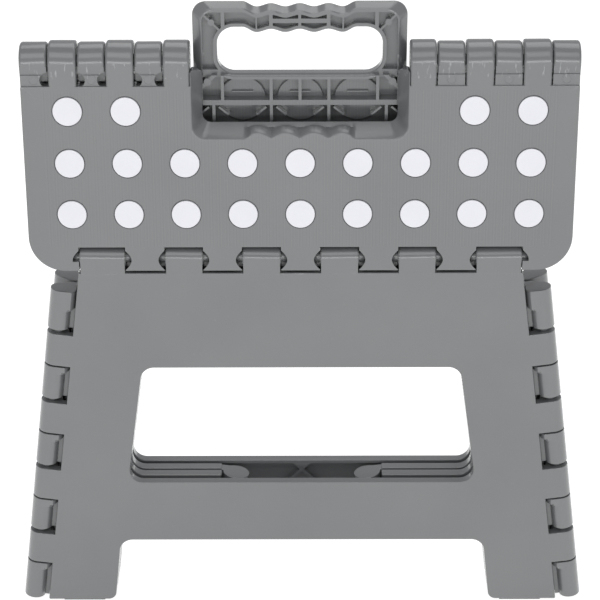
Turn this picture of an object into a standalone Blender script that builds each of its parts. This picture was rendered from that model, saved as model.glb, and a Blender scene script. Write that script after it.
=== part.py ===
"""Folding step stool in moulded plastic, folded flat and standing on its feet.

Metres. +X is to the right, +Y to the rear and +Z up; the origin is on the floor, in the middle.
The stool folds about its mid plane Y = 0: front leg, front half of the top and the front halves of
the two side panels lie before it, their rear counterparts behind it. Opening it swings every
panel about the axis it shares with its neighbour; all ranges start from this folded pose.
"""

import math

import bmesh
import bpy
from mathutils import Matrix, Vector

MM = 0.001

# Leg panel
EDGE_FLOOR = 160.2 * MM  # half-width over the edge barrels, at the floor
EDGE_SLOPE = 0.1325  # what the half-width loses for each unit of height
LEG_TOP = 205.7 * MM
LEG_FACE = 15.5 * MM  # distance of the outer face from the mid plane
LEG_BACK = 10.0 * MM
FOOT_BOTTOM = 1.0 * MM
SKIN = 2.2 * MM
WALL = 2.0 * MM
RIB = 1.6 * MM
WINDOW_LOW = 77.9 * MM
WINDOW_HIGH = 149.4 * MM
WINDOW_FLOOR = 107.9 * MM  # half-width of the window, carried down to the floor
WINDOW_SLOPE = 0.1425
WINDOW_RADIUS = 7.5 * MM
ARCH_TOP = 40.5 * MM
ARCH_FLOOR = 107.1 * MM
ARCH_SLOPE = 0.113
ARCH_RADIUS = 7.5 * MM
FOOT_RADIUS = 4.5 * MM

# Hinges between the legs and the side panels
HINGE_Y = 9.5 * MM  # distance of every leg hinge axis from the mid plane
BARREL = 6.0 * MM
EDGE_KNUCKLE = 19.0 * MM
EDGE_PITCH = 41.9 * MM
EDGE_START = 26.5 * MM
EDGE_KNUCKLES = 4
NOTCH_REACH = 8.5 * MM  # how far a notch goes inwards from the hinge axis
GAP_BELOW = 2.4 * MM
GAP_ABOVE = 0.8 * MM
PIN = 2.4 * MM
BORE = 2.8 * MM
PIN_GRIP = 3.4 * MM

# Side panels
SIDE_NEAR = 0.9 * MM  # distance of the outer skin from the mid plane, folded
SIDE_FAR = 6.7 * MM
SIDE_FOOT = 1.6 * MM
SIDE_TOP = 197.2 * MM  # measured along the slanted hinge axis
SIDE_EDGE = 7.0 * MM
SIDE_END = 98.0 * MM
ARM_LOW = 41.0 * MM
FOLD_BARREL = 7.5 * MM
FOLD_PIN = 2.4 * MM
FOLD_BORE = 2.8 * MM
FOLD_FRONT = ((67.4 * MM, 78.8 * MM), (165.5 * MM, 175.8 * MM), (186.9 * MM, 196.8 * MM))
FOLD_REAR = ((55.8 * MM, 67.0 * MM), (79.2 * MM, 90.8 * MM), (176.2 * MM, 186.5 * MM))
FOLD_PINS = ((63.4 * MM, 82.8 * MM), (170.0 * MM, 179.8 * MM), (182.9 * MM, 192.0 * MM))

# Hinges between the legs and the top
TOP_HINGE = 213.0 * MM
TABS = ((20.7 * MM, 19.8 * MM), (61.9 * MM, 19.5 * MM), (105.3 * MM, 23.8 * MM))
TAB_GAP = 0.5 * MM
RECESS_MOUTH = 8.1 * MM
RECESS_THROAT = 5.9 * MM
RECESS_DEPTH = 3.6 * MM
STUD_ROOT = 3.4 * MM
STUD_TIP = 2.2 * MM
STUD = 6.6 * MM
SOCKET_DEPTH = 3.4 * MM
SOCKET_ROOT = 3.3 * MM
SOCKET_TIP = 2.8 * MM

# Top: u runs up its outer face from the leg hinge, depths are measured inwards from that face
CENTRE_RISE = 106.2 * MM  # from the leg hinge to the centre hinge, folded
CENTRE_BARREL = 10.5 * MM
REAR_BARREL = 9.7 * MM
TOP_HALF_WIDTH = 143.7 * MM
TOP_DEPTH = 9.8 * MM
TOP_LOW = -4.9 * MM
TOP_HIGH = 95.4 * MM
TOP_CORNER = 19.0 * MM
NOTCH_HIGH = 7.4 * MM
HINGE_STRIP = 11.0 * MM
FRONT_KNUCKLES = ((56.5 * MM, 70.2 * MM), (85.2 * MM, 99.6 * MM), (114.6 * MM, 129.2 * MM))
REAR_KNUCKLES = ((70.6 * MM, 84.8 * MM), (100.0 * MM, 114.2 * MM), (129.6 * MM, 144.0 * MM))
CENTRE_PINS = ((60.0 * MM, 74.6 * MM), (80.8 * MM, 103.8 * MM), (110.2 * MM, 133.6 * MM))
CENTRE_PIN = 2.8 * MM
CENTRE_BORE = 3.2 * MM
KNUCKLE_CHAMFER = 1.1 * MM
RIB_COLUMNS = (15.0 * MM, 45.0 * MM, 75.0 * MM, 105.0 * MM, 135.0 * MM)
RIB_ROWS = (28.8 * MM, 56.9 * MM, 82.2 * MM)

# Cut-out, handle and their finger waves
WAVE_PITCH = 14.8 * MM
WAVE_COUNT = 4
WAVE_DEPTH = 2.9 * MM
WAVE_CREST = 1.2 * MM
CUTOUT_WIDTH = 56.1 * MM
CUTOUT_LOW = 66.9 * MM
CUTOUT_TAPER = 0.694  # how far its lower wall leans in for each unit of depth
CUTOUT_SIDE_TAPER = 0.561  # and its side walls
CUTOUT_RADIUS = 8.0 * MM
LIP_WIDTH = 56.5 * MM
LIP_HIGH = 101.5 * MM
HANDLE_WIDTH = 55.5 * MM
HANDLE_TOP = 134.8 * MM
HANDLE_DEPTH = 6.2 * MM
HANDLE_RADIUS = 7.0 * MM
HANDLE_RIM_WIDTH = 51.5 * MM
HANDLE_RIM_TOP = 132.6 * MM
GRIP_WIDTH = 42.8 * MM
GRIP_LOW = 97.4 * MM
GRIP_HIGH = 122.6 * MM
GRIP_RADIUS = 9.0 * MM
GRIP_RIM = 2.0 * MM

# Anti-slip dots
DOT_RADIUS = 7.6 * MM
DOT_POCKET = 8.0 * MM
DOT_POCKET_DEPTH = 1.4 * MM
DOT_BOTTOM = 1.1 * MM
DOT_PROUD = 0.5 * MM
DOT_ROWS = (82.1 * MM, 53.95 * MM, 25.85 * MM)
DOT_PITCH = 30.0 * MM
FULL_ROW = (-4, -3, -2, -1, 0, 1, 2, 3, 4)
FRONT_DOTS = ((-4, -3, 3, 4), FULL_ROW, FULL_ROW)
REAR_DOTS = ((-4, -3, -1, 0, 1, 3, 4), FULL_ROW, FULL_ROW)

# Foot pads
PAD_FROM = 113.0 * MM
PAD_TO = 137.0 * MM
PAD_NEAR = 10.9 * MM
PAD_FAR = 14.6 * MM
PAD_HEIGHT = 3.7 * MM
PAD_GAP = 0.3 * MM

# Worked out from the dimensions above
SLANT = math.atan(EDGE_SLOPE)
FOLD_REACH = CENTRE_RISE  # side panels fold as the top does, so the whole ring closes
AXIS_FLOOR = EDGE_FLOOR - BARREL / math.cos(SLANT)
HINGE_SPAN = math.hypot(CENTRE_RISE, HINGE_Y)
CENTRE_DEPTH = CENTRE_BARREL
CENTRE_U = math.sqrt(HINGE_SPAN**2 - (CENTRE_BARREL - BARREL) ** 2)
LEAN = math.atan2(HINGE_Y, CENTRE_RISE) - math.asin((CENTRE_BARREL - BARREL) / HINGE_SPAN)
PAST = 1.0 * MM  # how far a cutter reaches past a face

GREY = (0.245, 0.248, 0.25, 1.0)
PALE = (0.76, 0.76, 0.80, 1.0)
DARK = (0.06, 0.065, 0.07, 1.0)


def clear_scene():
    for obj in list(bpy.data.objects):
        bpy.data.objects.remove(obj, do_unlink=True)


def frame_from(origin, x_axis, y_axis):
    """A right-handed frame from its origin and its first two axes."""
    x_axis, y_axis = Vector(x_axis), Vector(y_axis)
    columns = Matrix((x_axis, y_axis, x_axis.cross(y_axis))).transposed()
    return Matrix.Translation(origin) @ columns.to_4x4()


# Panels facing the front are drawn in X and Z, with depth towards the front.
FACING = frame_from((0, 0, 0), (1, 0, 0), (0, 0, 1))
# The right-hand leg hinge axis: x inwards across the panel, y to the front, z up the axis.
EDGE = frame_from(
    (AXIS_FLOOR, -HINGE_Y, 0),
    (-math.cos(SLANT), 0, -math.sin(SLANT)),
    (0, -1, 0),
)
# The front half of the top: x to the right, y up its outer face, z out of that face.
TOP = frame_from(
    (0, -HINGE_Y - BARREL * math.cos(LEAN), TOP_HINGE + BARREL * math.sin(LEAN)),
    (1, 0, 0),
    (0, math.sin(LEAN), math.cos(LEAN)),
)
# A top half is cut lying flat in its own frame, and stands in TOP when it is whole.
FLAT = Matrix.Identity(4)
# The flat frame turned, to draw sections that run along X.
SECTION = frame_from((0, 0, 0), (0, 1, 0), (0, 0, 1))
HALF_TURN = Matrix.Rotation(math.pi, 4, "Z")


def edge_point(inwards, along):
    """World X and Z of a point of the right side panel, from its leg hinge axis."""
    x = AXIS_FLOOR - along * math.sin(SLANT) - inwards * math.cos(SLANT)
    return x, along * math.cos(SLANT) - inwards * math.sin(SLANT)


def edge_x(inwards, z):
    """World X at height z of a line parallel to the right leg hinge axis."""
    return AXIS_FLOOR - EDGE_SLOPE * z - inwards / math.cos(SLANT)


def window_x(z):
    return WINDOW_FLOOR - WINDOW_SLOPE * z


def arch_x(z):
    return ARCH_FLOOR - ARCH_SLOPE * z


def arc(centre, radius, start, sweep, steps):
    """Points on an arc, angles in degrees."""
    angles = [math.radians(start + sweep * i / steps) for i in range(steps + 1)]
    return [(centre[0] + radius * math.cos(a), centre[1] + radius * math.sin(a)) for a in angles]


def rounded(corners, steps=4):
    """An outline's points from corners of x, y and radius."""
    points = []
    for i, (x, y, radius) in enumerate(corners):
        here = Vector((x, y))
        if not radius:
            points.append((x, y))
            continue
        back = (Vector(corners[i - 1][:2]) - here).normalized()
        ahead = (Vector(corners[(i + 1) % len(corners)][:2]) - here).normalized()
        half = back.angle(ahead) / 2
        centre = here + (back + ahead).normalized() * radius / math.sin(half)
        first = here + back * radius / math.tan(half) - centre
        last = here + ahead * radius / math.tan(half) - centre
        start = math.degrees(math.atan2(first.y, first.x))
        sweep = math.degrees(math.atan2(last.y, last.x)) - start
        sweep = (sweep + 180) % 360 - 180
        points += arc(centre, radius, start, sweep, steps)
    return points


def both_sides(points):
    """A symmetric outline from the points of its right half, in order from the middle."""
    return points + [(-x, y) for x, y in reversed(points)]


def wave(x):
    """How far the finger waves dip at x: flat outside them, crests between them."""
    if abs(x) >= WAVE_PITCH * WAVE_COUNT / 2:
        return 0.0
    dip = math.sin(math.pi * x / WAVE_PITCH) ** 2
    if abs(x) > WAVE_PITCH * (WAVE_COUNT - 1) / 2:
        return WAVE_DEPTH * dip
    return WAVE_CREST + (WAVE_DEPTH - WAVE_CREST) * dip


def wave_points(height, sign, steps=3):
    """A wavy edge from its outer end to the middle, dipping down (1) or standing up (-1)."""
    half = WAVE_PITCH / 2
    count = WAVE_COUNT * steps
    xs = [half * (count - i) / steps for i in range(count + 1)]
    return [(x, height - sign * wave(x)) for x in xs]


def add_object(name, mesh):
    obj = bpy.data.objects.new(name, mesh)
    bpy.context.scene.collection.objects.link(obj)
    return obj


def drop(obj):
    bpy.data.objects.remove(obj, do_unlink=True)


def evaluated_mesh(obj):
    bpy.context.view_layer.update()
    depsgraph = bpy.context.evaluated_depsgraph_get()
    return bpy.data.meshes.new_from_object(obj.evaluated_get(depsgraph))


def bake(obj):
    """Applies an object's modifiers."""
    mesh = evaluated_mesh(obj)
    obj.modifiers.clear()
    obj.data = mesh


def snap(bm):
    """Rounds coordinates to a tenth of a micrometre, so that flush faces are exactly flush."""
    for vertex in bm.verts:
        vertex.co = [round(value, 7) for value in vertex.co]


def tidied(obj):
    """Merges the faces and edges that a Boolean left split on one plane."""
    bm = bmesh.new()
    bm.from_mesh(obj.data)
    bmesh.ops.remove_doubles(bm, verts=bm.verts, dist=2e-6)
    bmesh.ops.dissolve_limit(bm, angle_limit=0.0005, verts=bm.verts, edges=bm.edges)
    bmesh.ops.triangulate(bm, faces=bm.faces)
    bm.to_mesh(obj.data)
    bm.free()
    return obj


def prism(outlines, low, high, frame):
    """A solid with the given closed outlines (holes nest) between two depths of a frame."""
    curve = bpy.data.curves.new("outline", "CURVE")
    curve.dimensions = "2D"
    curve.fill_mode = "BOTH"
    curve.extrude = (high - low) / 2
    for outline in outlines:
        spline = curve.splines.new("POLY")
        spline.points.add(len(outline) - 1)
        for point, (x, y) in zip(spline.points, outline):
            point.co = (x, y, 0, 1)
        spline.use_cyclic_u = True
    flat = add_object("outline", curve)
    mesh = evaluated_mesh(flat)
    drop(flat)
    bm = bmesh.new()
    bm.from_mesh(mesh)
    bmesh.ops.remove_doubles(bm, verts=bm.verts, dist=1e-6)
    bmesh.ops.recalc_face_normals(bm, faces=bm.faces)
    bm.transform(frame @ Matrix.Translation((0, 0, (low + high) / 2)))
    snap(bm)
    bm.to_mesh(mesh)
    bm.free()
    return add_object("prism", mesh)


def taper(obj, frame, depth, pivot, scale):
    """Scales the end of a prism that lies beyond a depth, in the frame's own axes."""
    inverse = frame.inverted()
    bm = bmesh.new()
    bm.from_mesh(obj.data)
    bm.transform(inverse)
    end = [vertex for vertex in bm.verts if vertex.co.z < depth]
    space = Matrix.Translation((-pivot[0], -pivot[1], 0))
    bmesh.ops.scale(bm, vec=(scale[0], scale[1], 1), space=space, verts=end)
    bm.transform(frame)
    bm.to_mesh(obj.data)
    bm.free()


def cone(radius_low, radius_high, low, high, frame, segments):
    """A round solid along a frame's z axis."""
    mesh = bpy.data.meshes.new("cone")
    bm = bmesh.new()
    bmesh.ops.create_cone(
        bm,
        cap_ends=True,
        segments=segments,
        radius1=radius_low,
        radius2=radius_high,
        depth=high - low,
    )
    bm.transform(frame @ Matrix.Translation((0, 0, (low + high) / 2)))
    snap(bm)
    bm.to_mesh(mesh)
    bm.free()
    return add_object("cone", mesh)


def box(low, high, frame):
    """A box between two corners of a frame."""
    outline = [(low[0], low[1]), (high[0], low[1]), (high[0], high[1]), (low[0], high[1])]
    return prism([outline], low[2], high[2], frame)


def combine(body, tools, operation):
    """Joins or cuts a body with each tool in turn, and removes the tools."""
    for tool in tools:
        modifier = body.modifiers.new("combine", "BOOLEAN")
        modifier.operation = operation
        modifier.solver = "EXACT"
        modifier.object = tool
        bake(body)
        drop(tool)
    return body


def join(body, *tools):
    return combine(body, tools, "UNION")


def cut(body, *tools):
    return combine(body, tools, "DIFFERENCE")


def mirror(obj):
    """Makes a body symmetric from its half at +X."""
    modifier = obj.modifiers.new("mirror", "MIRROR")
    modifier.use_axis = (True, False, False)
    modifier.use_bisect_axis = (True, False, False)
    modifier.bisect_threshold = 0.000001
    modifier.merge_threshold = 0.00001
    bake(obj)
    return obj


def reflected(obj, axis):
    """A mirrored copy of a whole body, across X = 0 or Y = 0."""
    bm = bmesh.new()
    bm.from_mesh(obj.data)
    bm.transform(Matrix.Scale(-1, 4, axis))
    bmesh.ops.reverse_faces(bm, faces=bm.faces)
    mesh = bpy.data.meshes.new("reflected")
    bm.to_mesh(mesh)
    bm.free()
    return add_object("reflected", mesh)


def chamfered(obj, frame, width):
    """Chamfers the edges round both end faces of a prism."""
    bm = bmesh.new()
    bm.from_mesh(obj.data)
    bmesh.ops.dissolve_limit(bm, angle_limit=0.001, verts=bm.verts, edges=bm.edges)
    along = frame.to_3x3().col[2]
    ends = [face for face in bm.faces if abs(face.normal.dot(along)) > 0.99]
    edges = {edge for face in ends for edge in face.edges}
    bmesh.ops.bevel(
        bm,
        geom=list(edges),
        offset=width,
        segments=1,
        affect="EDGES",
        offset_type="OFFSET",
    )
    bm.to_mesh(obj.data)
    bm.free()
    return obj


def clipped(polygon, point, normal):
    """The part of a convex polygon behind the line through point with that normal."""
    kept = []
    for i, here in enumerate(polygon):
        before = polygon[i - 1]
        side_here = (here - point).dot(normal)
        side_before = (before - point).dot(normal)
        if side_here * side_before < 0:
            kept.append(before.lerp(here, side_before / (side_before - side_here)))
        if side_here <= 0:
            kept.append(here)
    return kept


def area(polygon):
    return abs(sum(polygon[i - 1].cross(polygon[i]) for i in range(len(polygon)))) / 2


def cells(region, ribs, smallest=12 * MM * MM):
    """A convex region divided by straight ribs, each a point and an angle in degrees."""
    pieces = [[Vector(point) for point in region]]
    for point, degrees in ribs:
        normal = Vector((-math.sin(math.radians(degrees)), math.cos(math.radians(degrees))))
        divided = []
        for piece in pieces:
            for side in (1, -1):
                edge = Vector(point) + normal * side * RIB / 2
                part = clipped(piece, edge, -normal * side)
                if len(part) > 2 and area(part) > smallest:
                    divided.append(part)
        pieces = divided
    return pieces


def crossed(xs, z, degrees=45):
    """Ribs that cross in an X at each x."""
    return [((x, z), angle) for x in xs for angle in (degrees, -degrees)]


def knuckle_section(reach):
    """Edge of a leg panel that rolls over into its hinge barrel; the axis is at the origin."""
    back = LEG_BACK - HINGE_Y
    meet = math.degrees(math.asin(back / BARREL))
    roll = arc((0, 0), BARREL, 90, 270 + meet, 10)
    return [(reach, LEG_FACE - HINGE_Y)] + roll + [(reach, back)]


def leg_panel(name):
    """A leg, drawn as the front one: skin, ribs, hinge knuckles and top tabs."""
    outline = both_sides(
        rounded(
            [
                (0, ARCH_TOP, 0),
                (arch_x(ARCH_TOP), ARCH_TOP, ARCH_RADIUS),
                (arch_x(FOOT_BOTTOM), FOOT_BOTTOM, FOOT_RADIUS),
                (edge_x(4 * MM, FOOT_BOTTOM), FOOT_BOTTOM, 0),
                (edge_x(4 * MM, LEG_TOP), LEG_TOP, 0),
                (0, LEG_TOP, 0),
            ]
        )[1:-1]
    )
    window = both_sides(
        rounded(
            [
                (0, WINDOW_LOW, 0),
                (window_x(WINDOW_LOW), WINDOW_LOW, WINDOW_RADIUS),
                (window_x(WINDOW_HIGH), WINDOW_HIGH, WINDOW_RADIUS),
                (0, WINDOW_HIGH, 0),
            ]
        )[1:-1]
    )
    body = prism([outline, window], LEG_BACK, LEG_FACE, FACING)
    cut(body, box((-EDGE_FLOOR, -PAST, 0), (-WALL, LEG_TOP + PAST, LEG_FACE + PAST), FACING))
    length = LEG_TOP / math.cos(SLANT) + NOTCH_REACH
    join(body, prism([knuckle_section(9 * MM)], EDGE_START, length, EDGE))
    cut(body, *edge_notches())
    cut(body, box((PAD_FROM, -PAST, PAD_NEAR), (PAD_TO, PAD_HEIGHT + PAD_GAP, PAD_FAR), FACING))
    for start, end in edge_knuckles():
        pin_low = start - GAP_ABOVE - PIN_GRIP
        pin_high = end + GAP_BELOW + PIN_GRIP
        join(body, cone(PIN, PIN, pin_low, pin_high, EDGE, 8))
    for centre, width in TABS:
        join(body, tab(centre, width), *studs(centre, width))
    tidied(body)
    hollows = [cell for cell in leg_cells() if max(point.x for point in cell) > 0]
    cut(body, prism(hollows, LEG_BACK - PAST, LEG_FACE - SKIN, FACING))
    mirror(tidied(body))
    body.name = name
    return body


def edge_knuckles():
    """Where the leg's knuckles start and end along the slanted axis."""
    starts = [EDGE_START + EDGE_PITCH * i for i in range(EDGE_KNUCKLES)]
    return [(start, start + EDGE_KNUCKLE) for start in starts]


def edge_notches():
    """Cutters for the notches that take the side panel's knuckles."""
    spans = edge_knuckles()
    lows = [-20 * MM] + [end for start, end in spans]
    highs = [start for start, end in spans] + [LEG_TOP + 40 * MM]
    side = 12 * MM
    return [
        box((-side, -side, low), (NOTCH_REACH, side, high), EDGE)
        for low, high in zip(lows, highs)
    ]


def leg_cells():
    """Outlines of the hollows between the ribs on the back of a leg."""
    inner = NOTCH_REACH + WALL
    rail_low, rail_high = ARCH_TOP + WALL, WINDOW_LOW - WALL
    top_low, top_high = WINDOW_HIGH + WALL, LEG_TOP - WALL
    stile_low, stile_high = WINDOW_LOW, WINDOW_HIGH
    foot_low, foot_high = PAD_HEIGHT + PAD_GAP + WALL, ARCH_TOP
    rail = [
        (-edge_x(inner, rail_low), rail_low),
        (edge_x(inner, rail_low), rail_low),
        (edge_x(inner, rail_high), rail_high),
        (-edge_x(inner, rail_high), rail_high),
    ]
    head = [
        (-edge_x(inner, top_low), top_low),
        (edge_x(inner, top_low), top_low),
        (edge_x(inner, top_high), top_high),
        (-edge_x(inner, top_high), top_high),
    ]
    stile = [
        (window_x(stile_low) + WALL, stile_low),
        (edge_x(inner, stile_low), stile_low),
        (edge_x(inner, stile_high), stile_high),
        (window_x(stile_high) + WALL, stile_high),
    ]
    foot = [
        (arch_x(foot_low) + 2 * WALL, foot_low),
        (edge_x(inner, foot_low), foot_low),
        (edge_x(inner, foot_high), foot_high),
        (arch_x(foot_high) + 2 * WALL, foot_high),
    ]
    rail_ribs = crossed([56 * MM * i for i in range(-2, 3)], (rail_low + rail_high) / 2)
    head_ribs = crossed([56 * MM * i for i in range(-2, 3)], (top_low + top_high) / 2, 52)
    stile_ribs = [((115 * MM, z * MM), angle) for z in (95.0, 132.0) for angle in (40, -40)]
    foot_ribs = [((123 * MM, 22 * MM), 48), ((123 * MM, 22 * MM), -48)]
    return (
        cells(rail, rail_ribs) + cells(head, head_ribs)
        + cells(stile, stile_ribs) + cells(foot, foot_ribs)
    )


def tab_frame(x):
    """x down from the hinge, y to the front, z towards -X."""
    return frame_from((x, -HINGE_Y, TOP_HINGE), (0, 0, -1), (0, -1, 0))


def tab(centre, width):
    """A hinge tab on the leg's top edge."""
    section = knuckle_section(TOP_HINGE - LEG_TOP + WALL)
    return prism([section], -width / 2, width / 2, tab_frame(centre))


def studs(centre, width):
    """The tapered studs at both ends of a tab."""
    frame = tab_frame(centre)
    end = width / 2
    return [
        cone(STUD_ROOT, STUD_TIP, end - PAST, end + STUD, frame, 8),
        cone(STUD_TIP, STUD_ROOT, -end - STUD, -end + PAST, frame, 8),
    ]


def side_arm_section():
    """A side panel's knuckle on the leg hinge axis, with its arm down to the panel."""
    near, far = HINGE_Y - SIDE_NEAR, HINGE_Y - SIDE_FAR
    foot = (4 * MM, -near)
    leave = math.degrees(math.atan2(foot[1], foot[0]) - math.acos(BARREL / math.hypot(*foot)))
    start = -math.degrees(math.asin(far / BARREL))
    roll = arc((0, 0), BARREL, start, leave + 360 - start, 10)
    reach = SIDE_EDGE + 4 * MM
    return roll + [foot, (reach, -near), (reach, -far)]


def fold_section():
    """A side panel's knuckle on the fold axis."""
    near, far = HINGE_Y - SIDE_NEAR, HINGE_Y - SIDE_FAR
    start = 180 - math.degrees(math.asin(SIDE_NEAR / FOLD_BARREL))
    end = 180 - math.degrees(math.asin(SIDE_FAR / FOLD_BARREL))
    roll = arc((FOLD_REACH, -HINGE_Y), FOLD_BARREL, start, end + 360 - start, 12)
    reach = SIDE_END - 4 * MM
    return [(reach, -far), (reach, -near)] + roll


def side_outline():
    """Outline of the right front side panel: a C round the window, and a foot."""
    top_edge = edge_point(SIDE_EDGE, SIDE_TOP)
    top_end = edge_point(SIDE_END, SIDE_TOP)
    return rounded(
        [
            (arch_x(SIDE_FOOT), SIDE_FOOT, FOOT_RADIUS),
            (edge_x(SIDE_EDGE, SIDE_FOOT), SIDE_FOOT, 0),
            (*top_edge, 0),
            (*top_end, 0),
            (edge_x(SIDE_END, WINDOW_HIGH), WINDOW_HIGH, 0),
            (window_x(WINDOW_HIGH), WINDOW_HIGH, WINDOW_RADIUS),
            (window_x(WINDOW_LOW), WINDOW_LOW, WINDOW_RADIUS),
            (edge_x(SIDE_END, WINDOW_LOW), WINDOW_LOW, 0),
            (edge_x(SIDE_END, ARM_LOW), ARM_LOW, 0),
            (arch_x(ARM_LOW), ARM_LOW, ARCH_RADIUS),
        ]
    )


def side_cells():
    """Outlines of the hollows between the ribs of a side panel."""
    outer = SIDE_EDGE + WALL + 2 * MM
    end = SIDE_END - 5 * MM
    arm_low, arm_high = ARM_LOW + WALL, WINDOW_LOW - WALL
    head_low = WINDOW_HIGH + WALL
    head_right = edge_point(outer, SIDE_TOP - WALL)
    head_left = edge_point(end, SIDE_TOP - WALL)
    stile_low, stile_high = WINDOW_LOW, WINDOW_HIGH
    foot_low, foot_high = SIDE_FOOT + WALL, ARM_LOW
    lower = [
        (edge_x(end, arm_low), arm_low),
        (edge_x(outer, arm_low), arm_low),
        (edge_x(outer, arm_high), arm_high),
        (edge_x(end, arm_high), arm_high),
    ]
    upper = [
        (edge_x(end, head_low), head_low),
        (edge_x(outer, head_low), head_low),
        head_right,
        head_left,
    ]
    stile = [
        (window_x(stile_low) + WALL, stile_low),
        (edge_x(outer, stile_low), stile_low),
        (edge_x(outer, stile_high), stile_high),
        (window_x(stile_high) + WALL, stile_high),
    ]
    foot = [
        (arch_x(foot_low) + 2 * WALL, foot_low),
        (edge_x(outer, foot_low), foot_low),
        (edge_x(outer, foot_high), foot_high),
        (arch_x(foot_high) + 2 * WALL, foot_high),
    ]
    lower_ribs = crossed((70 * MM, 106 * MM), (arm_low + arm_high) / 2, 42)
    upper_ribs = crossed((50 * MM, 84 * MM), 170 * MM, 48)
    stile_ribs = crossed((113 * MM,), 113 * MM, 55)
    return (
        cells(lower, lower_ribs) + cells(upper, upper_ribs)
        + cells(stile, stile_ribs) + cells(foot, [((124 * MM, 24 * MM), 0)])
    )


def side_panel(fold_knuckles, fold_pins):
    """The right front side panel; the other three are reflections of it."""
    body = prism([side_outline()], SIDE_NEAR, SIDE_FAR, FACING)
    for low, high in side_knuckles():
        join(body, prism([side_arm_section()], low, high, EDGE))
    for low, high in fold_knuckles:
        join(body, prism([fold_section()], low, high, EDGE))
    fold_axis = EDGE @ Matrix.Translation((FOLD_REACH, -HINGE_Y, 0))
    cut(body, cone(BORE, BORE, -PAST, SIDE_TOP + PAST, EDGE, 8))
    if fold_pins:
        join(body, *[cone(FOLD_PIN, FOLD_PIN, low, high, fold_axis, 8) for low, high in fold_pins])
    else:
        cut(body, cone(FOLD_BORE, FOLD_BORE, 0, SIDE_TOP + PAST, fold_axis, 8))
    tidied(body)
    cut(body, prism(side_cells(), SIDE_NEAR + SKIN, SIDE_FAR + PAST, FACING))
    return tidied(body)


def side_knuckles():
    """Where a side panel's knuckles lie along the leg hinge axis."""
    spans = edge_knuckles()
    lows = [SIDE_FOOT + 0.5 * MM] + [end + GAP_BELOW for start, end in spans]
    highs = [start - GAP_ABOVE for start, end in spans] + [SIDE_TOP - 0.4 * MM]
    return list(zip(lows, highs))


def centre_section(radius):
    """A centre hinge knuckle, from the top's plate round its barrel, in u and depth."""
    centre = (CENTRE_U, -CENTRE_DEPTH)
    start = 180 - math.degrees(math.asin((CENTRE_DEPTH - TOP_DEPTH) / radius))
    roll = arc(centre, radius, start, 450 - start, 12)
    root = TOP_HIGH - 3 * MM
    shoulder = [] if radius == CENTRE_BARREL else [(TOP_HIGH + 2 * MM, 0)]
    return [(root, -TOP_DEPTH)] + roll + shoulder + [(root, 0)]


def top_plate(middle):
    """The right half of a top panel, before its middle is cut; a mirror makes it whole."""
    outline = rounded(
        [
            (-WALL, TOP_LOW, 0),
            (TOP_HALF_WIDTH, TOP_LOW, TOP_CORNER),
            (TOP_HALF_WIDTH, TOP_HIGH, 0),
            (middle[0], TOP_HIGH, 0),
            (middle[0], middle[1], 0),
            (-WALL, middle[1], 0),
        ],
        6,
    )
    return prism([outline], -TOP_DEPTH, 0, FLAT)


def top_region(left, right, low, high):
    """A rectangle of the plate's underside, its outer lower corner cut for the round one."""
    corner = 6 * MM
    if low > HINGE_STRIP or right < TOP_HALF_WIDTH - 2 * WALL:
        return [(left, low), (right, low), (right, high), (left, high)]
    return [(left, low), (right - corner, low), (right, low + corner), (right, high), (left, high)]


def column_ribs(xs=RIB_COLUMNS):
    return [((x, 0), 90) for x in xs]


def row_ribs():
    return [((0, u), 0) for u in RIB_ROWS]


def hinge_cutters():
    """Cutters for one half's leg hinge: notches, flared recesses and sockets."""
    tools = []
    for centre, width in TABS:
        half = width / 2 + TAB_GAP
        low = (centre - half, TOP_LOW - 5 * MM, -TOP_DEPTH - PAST)
        high = (centre + half, NOTCH_HIGH, PAST)
        tools.append(box(low, high, FLAT))
        for side in (1, -1):
            axis = frame_from((centre + side * half, 0, -BARREL), (0, 1, 0), (0, 0, -side))
            tools.append(cone(RECESS_THROAT, RECESS_MOUTH, -RECESS_DEPTH, PAST / 5, axis, 14))
            deep = -RECESS_DEPTH - SOCKET_DEPTH
            tools.append(cone(SOCKET_TIP, SOCKET_ROOT, deep, -RECESS_DEPTH / 2, axis, 8))
    return tools


def dot_pockets(rows):
    """Cutters for the seats of the dots on the right half."""
    places = [(DOT_PITCH * k, u, 0) for u, row in zip(DOT_ROWS, rows) for k in row if k >= 0]
    return [
        cone(DOT_POCKET, DOT_POCKET, -DOT_POCKET_DEPTH, PAST, Matrix.Translation(place), 12)
        for place in places
    ]


def add_knuckles(body, spans, radius):
    for low, high in spans:
        knuckle = prism([centre_section(radius)], low, high, SECTION)
        join(body, chamfered(knuckle, SECTION, KNUCKLE_CHAMFER))


def centre_axis():
    return SECTION @ Matrix.Translation((CENTRE_U, -CENTRE_DEPTH, 0))


def cutout_tool():
    """The front half's cut-out, wide at the outer face and narrow at the underside."""
    mouth = CUTOUT_WIDTH + CUTOUT_SIDE_TAPER * PAST
    low = CUTOUT_LOW - CUTOUT_TAPER * PAST
    high = 130 * MM
    wavy = [(x, y) for x, y in reversed(wave_points(low, -1))]
    corner = rounded([(0, low, 0), (mouth, low, CUTOUT_RADIUS), (mouth, high, 0)])[1:-1]
    outline = both_sides(wavy + corner + [(mouth, high)])
    depth = TOP_DEPTH + 2 * PAST
    tool = prism([outline], PAST - depth, PAST, FLAT)
    scale = (
        1 - CUTOUT_SIDE_TAPER * depth / mouth,
        1 - CUTOUT_TAPER * depth / (high - low),
    )
    taper(tool, FLAT, PAST - depth / 2, (0, high), scale)
    return tool


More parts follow.
